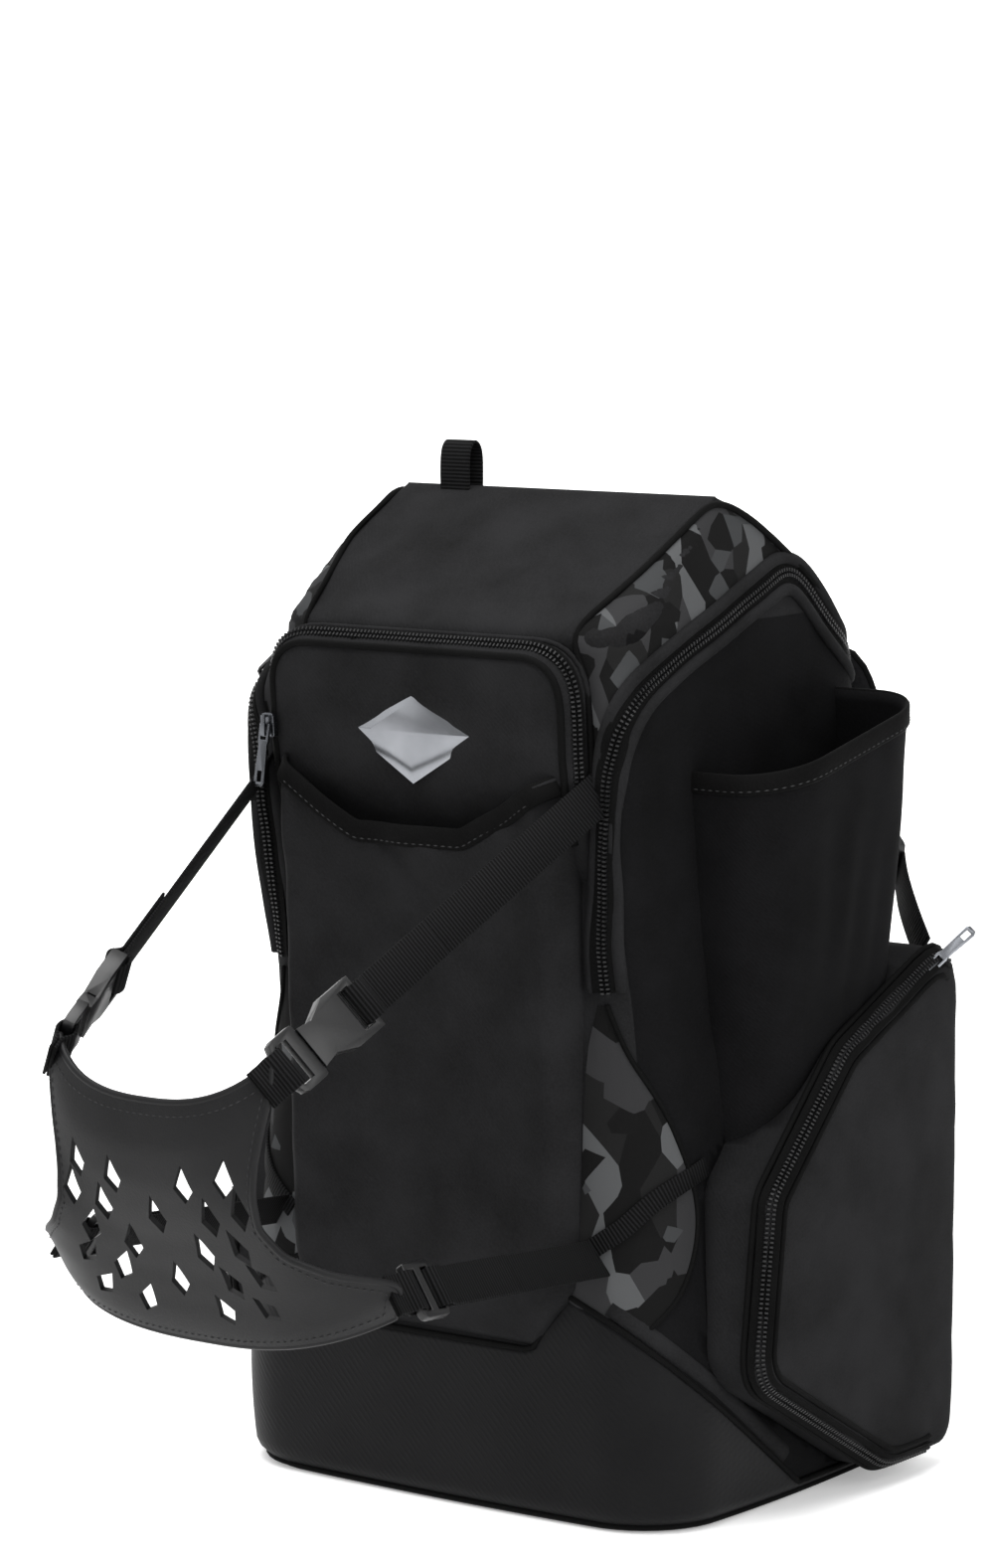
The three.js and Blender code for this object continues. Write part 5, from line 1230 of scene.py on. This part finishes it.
# %% Dress the hard nodes
def dress(node, name, width, material, slot):
    source = frame["nodes"][node]
    obj = bpy.data.objects.new(name, source.data.copy())
    bpy.context.scene.collection.objects.link(obj)
    obj.data.materials.clear()
    obj.data.materials.append(material)
    only(obj)
    bpy.ops.object.mode_set(mode="EDIT")
    bpy.ops.mesh.select_all(action="SELECT")
    bpy.ops.mesh.remove_doubles(threshold=0.00001)
    bpy.ops.mesh.dissolve_limited(angle_limit=math.radians(3))
    bpy.ops.object.mode_set(mode="OBJECT")
    apply_modifier(obj, "BEVEL", width=width * MM, segments=3, limit_method="ANGLE",
                   angle_limit=math.radians(25))
    smooth_by_angle(obj, 30)
    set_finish(obj, slot)
    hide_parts(node)
    made[name] = obj
    return obj


PLASTICS = [("buckle_plug", "plug", 0.6), ("buckle_socket", "socket", 0.8), ("sling_lock", "ladder", 0.6),
            ("strap_adjuster", "adjuster", 0.6)]
for side in ("right", "left"):
    for node, name, width in PLASTICS:
        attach(dress(f"{node}_{side}", f"{name}_moulding_{side}", width, acetal, "acetal"), "bag")
    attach(dress(f"side_slider_{side}", f"side_slider_cast_{side}", 0.25, gunmetal, "zip_metal"), "bag")
    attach(dress(f"side_pull_{side}", f"side_pull_tab_{side}", 0.3, gunmetal, "zip_metal"),
            f"side_pull_{side}_body")
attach(dress("main_slider", "main_slider_cast", 0.25, coil, "zip_coil"), "bag")
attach(dress("main_pull", "main_pull_tab", 0.3, coil, "zip_coil"), "main_pull_body")
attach(dress("pocket_slider", "pocket_slider_cast", 0.25, gunmetal, "zip_metal"), "bag")
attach(dress("pocket_pull", "pocket_pull_tab", 0.3, gunmetal, "zip_metal"), "pocket_pull_body")
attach(dress("badge", "badge_plate", 0.25, chrome, "badge_metal"), "bag")

# %% [markdown]
# ## Both sides, and who rides on what
# The right side's pieces are copied to the left. Then every piece is tied to its body, and the plain solids
# of the frame that it stands for are hidden.

# %% Copy to the left and tie to the frame
for piece in pieces_right:
    other_side(piece, piece.name.replace("_right", "_left"))


def sag_left_top(obj):
    """The empty top of the bag gives way a little at its left corner."""
    points = np.empty(len(obj.data.vertices) * 3)
    obj.data.vertices.foreach_get("co", points)
    points = points.reshape(-1, 3)
    x, z = points[:, 0] / MM, points[:, 2] / MM
    inwards = 15 * soft_step(z, 392, 436) + 6 * soft_step(z, 478, 500)
    points[:, 0] += inwards * soft_step(-x, 60, 108) * MM
    obj.data.vertices.foreach_set("co", points.ravel())
    obj.data.update()


SAGGING = ["main_body_shell", "main_zip_coil", "main_zip_welts", "camo_gusset_top_left", "lid_piping_left"]
for name in SAGGING:
    sag_left_top(made[name])

STANDS_FOR = {
    "main_body_shell": ["main_body"],
    "base_boot_tub": ["base_boot"],
    "front_pocket_panel": ["front_pocket"],
    "lower_front_pocket_panel": ["lower_front_pocket"],
    "back_padding": ["back_pad"],
    "sling_sheet": ["sling_panel"],
    "hanging_loop_webbing": ["hanging_loop"],
    "main_zip_coil": ["main_zip"],
    "pocket_zip_coil": ["pocket_zip"],
}
for side in ("right", "left"):
    STANDS_FOR.update({
        f"side_pocket_panel_{side}": [f"side_pocket_{side}"],
        f"bat_sleeve_cloth_{side}": [f"bat_sleeve_{side}"],
        f"side_zip_coil_{side}": [f"side_zip_{side}"],
        f"corner_webbing_{side}": [f"corner_strap_{side}"],
        f"shoulder_padding_{side}": [f"shoulder_strap_{side}"],
        f"shoulder_webbing_{side}": [f"strap_webbing_{side}"]})
    for level in ("upper", "lower"):
        STANDS_FOR[f"sling_webbing_{level}_{side}"] = [f"sling_strap_{level}_{side}"]
        STANDS_FOR[f"sling_tab_webbing_{level}_{side}"] = [f"sling_tab_{level}_{side}"]
for name, obj in made.items():
    if obj.parent is None:
        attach(obj, "bag")
    for node in STANDS_FOR.get(name, []):
        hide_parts(node)
shown = [n for n, o in frame["nodes"].items() if not o.hide_render]
print("pieces:", len(made), "CAD nodes still shown:", shown)

# %% [markdown]
# ## Studio
# A pale floor that curves up far behind, one large soft light above and softer ones at the sides. The
# far part of the floor glows a little, so that it stays white. The camera stands where the photograph
# was taken from.

# %% Floor, lights and camera
AZIMUTH, ELEVATION = math.radians(36.5), math.radians(7.0)
FOCAL_PIXELS, PHOTO_PIXELS, SENSOR = 5000, 1577, 36
floor = bpy.data.meshes.new("floor")
sweep_line = [(-6.0, 0.0), (0.9, 0.0)] + [(3.2 + 0.9 * math.sin(a), 0.9 - 0.9 * math.cos(a))
                                          for a in np.linspace(0, math.pi / 2, 12)] + [(4.2, 4.5)]
floor.from_pydata([(x, y, z) for y, z in sweep_line for x in (-6, 6)], [],
                  [(2 * i, 2 * i + 1, 2 * i + 3, 2 * i + 2) for i in range(len(sweep_line) - 1)])
floor_object = bpy.data.objects.new("floor", floor)
bpy.context.scene.collection.objects.link(floor_object)
floor_object.rotation_euler = (0, 0, AZIMUTH)
for name, strength in (("seamless_paper", 0.3), ("lit_backdrop_paper", 0.8)):
    paper, _, _ = new_material(name, "#f4f4f4", 0.9, Emission_Color=(1, 1, 1, 1), Emission_Strength=strength)
    floor.materials.append(paper)
floor.polygons.foreach_set("use_smooth", [True] * len(floor.polygons))
floor.polygons.foreach_set("material_index", [0] + [1] * (len(floor.polygons) - 1))
floor_object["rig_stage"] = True


def area_light(name, place, aim, size, power):
    data = bpy.data.lights.new(name, "AREA")
    data.shape = "RECTANGLE"
    data.size, data.size_y = size
    data.energy = power
    light = bpy.data.objects.new(name, data)
    light.location = place
    light.rotation_euler = (Vector(aim) - Vector(place)).to_track_quat("-Z", "Y").to_euler()
    bpy.context.scene.collection.objects.link(light)


area_light("overhead_softbox", (0.1, -0.5, 2.1), (0, 0, 0.25), (1.8, 1.8), 60)
area_light("left_softbox", (-1.5, -1.5, 1.1), (0, 0, 0.3), (1.0, 1.6), 5)
area_light("right_softbox", (2.0, -0.5, 1.0), (0, 0, 0.3), (0.9, 1.6), 17)
world = bpy.data.worlds.new("studio")
bpy.context.scene.world = world
world.use_nodes = True
world.node_tree.nodes["Background"].inputs[0].default_value = linear("#ffffff")
world.node_tree.nodes["Background"].inputs[1].default_value = 0.58

camera_data = bpy.data.cameras.new("camera")
camera_data.lens = FOCAL_PIXELS / PHOTO_PIXELS * SENSOR
camera_data.sensor_width = SENSOR
camera_data.clip_end = 20
camera = bpy.data.objects.new("camera", camera_data)
camera.location = (1.4768, -2.0548, 0.6642)
level = math.cos(ELEVATION)
gaze = Vector((-math.sin(AZIMUTH) * level, math.cos(AZIMUTH) * level, -math.sin(ELEVATION)))
camera.rotation_euler = gaze.to_track_quat("-Z", "Y").to_euler()
bpy.context.scene.collection.objects.link(camera)
bpy.context.scene.camera = camera
bpy.context.scene.view_settings.view_transform = "Standard"

# %% Count the triangles
triangles = sum(len(p.vertices) - 2 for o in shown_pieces() if o.type == "MESH" for p in o.data.polygons)
print("triangles in all:", triangles)
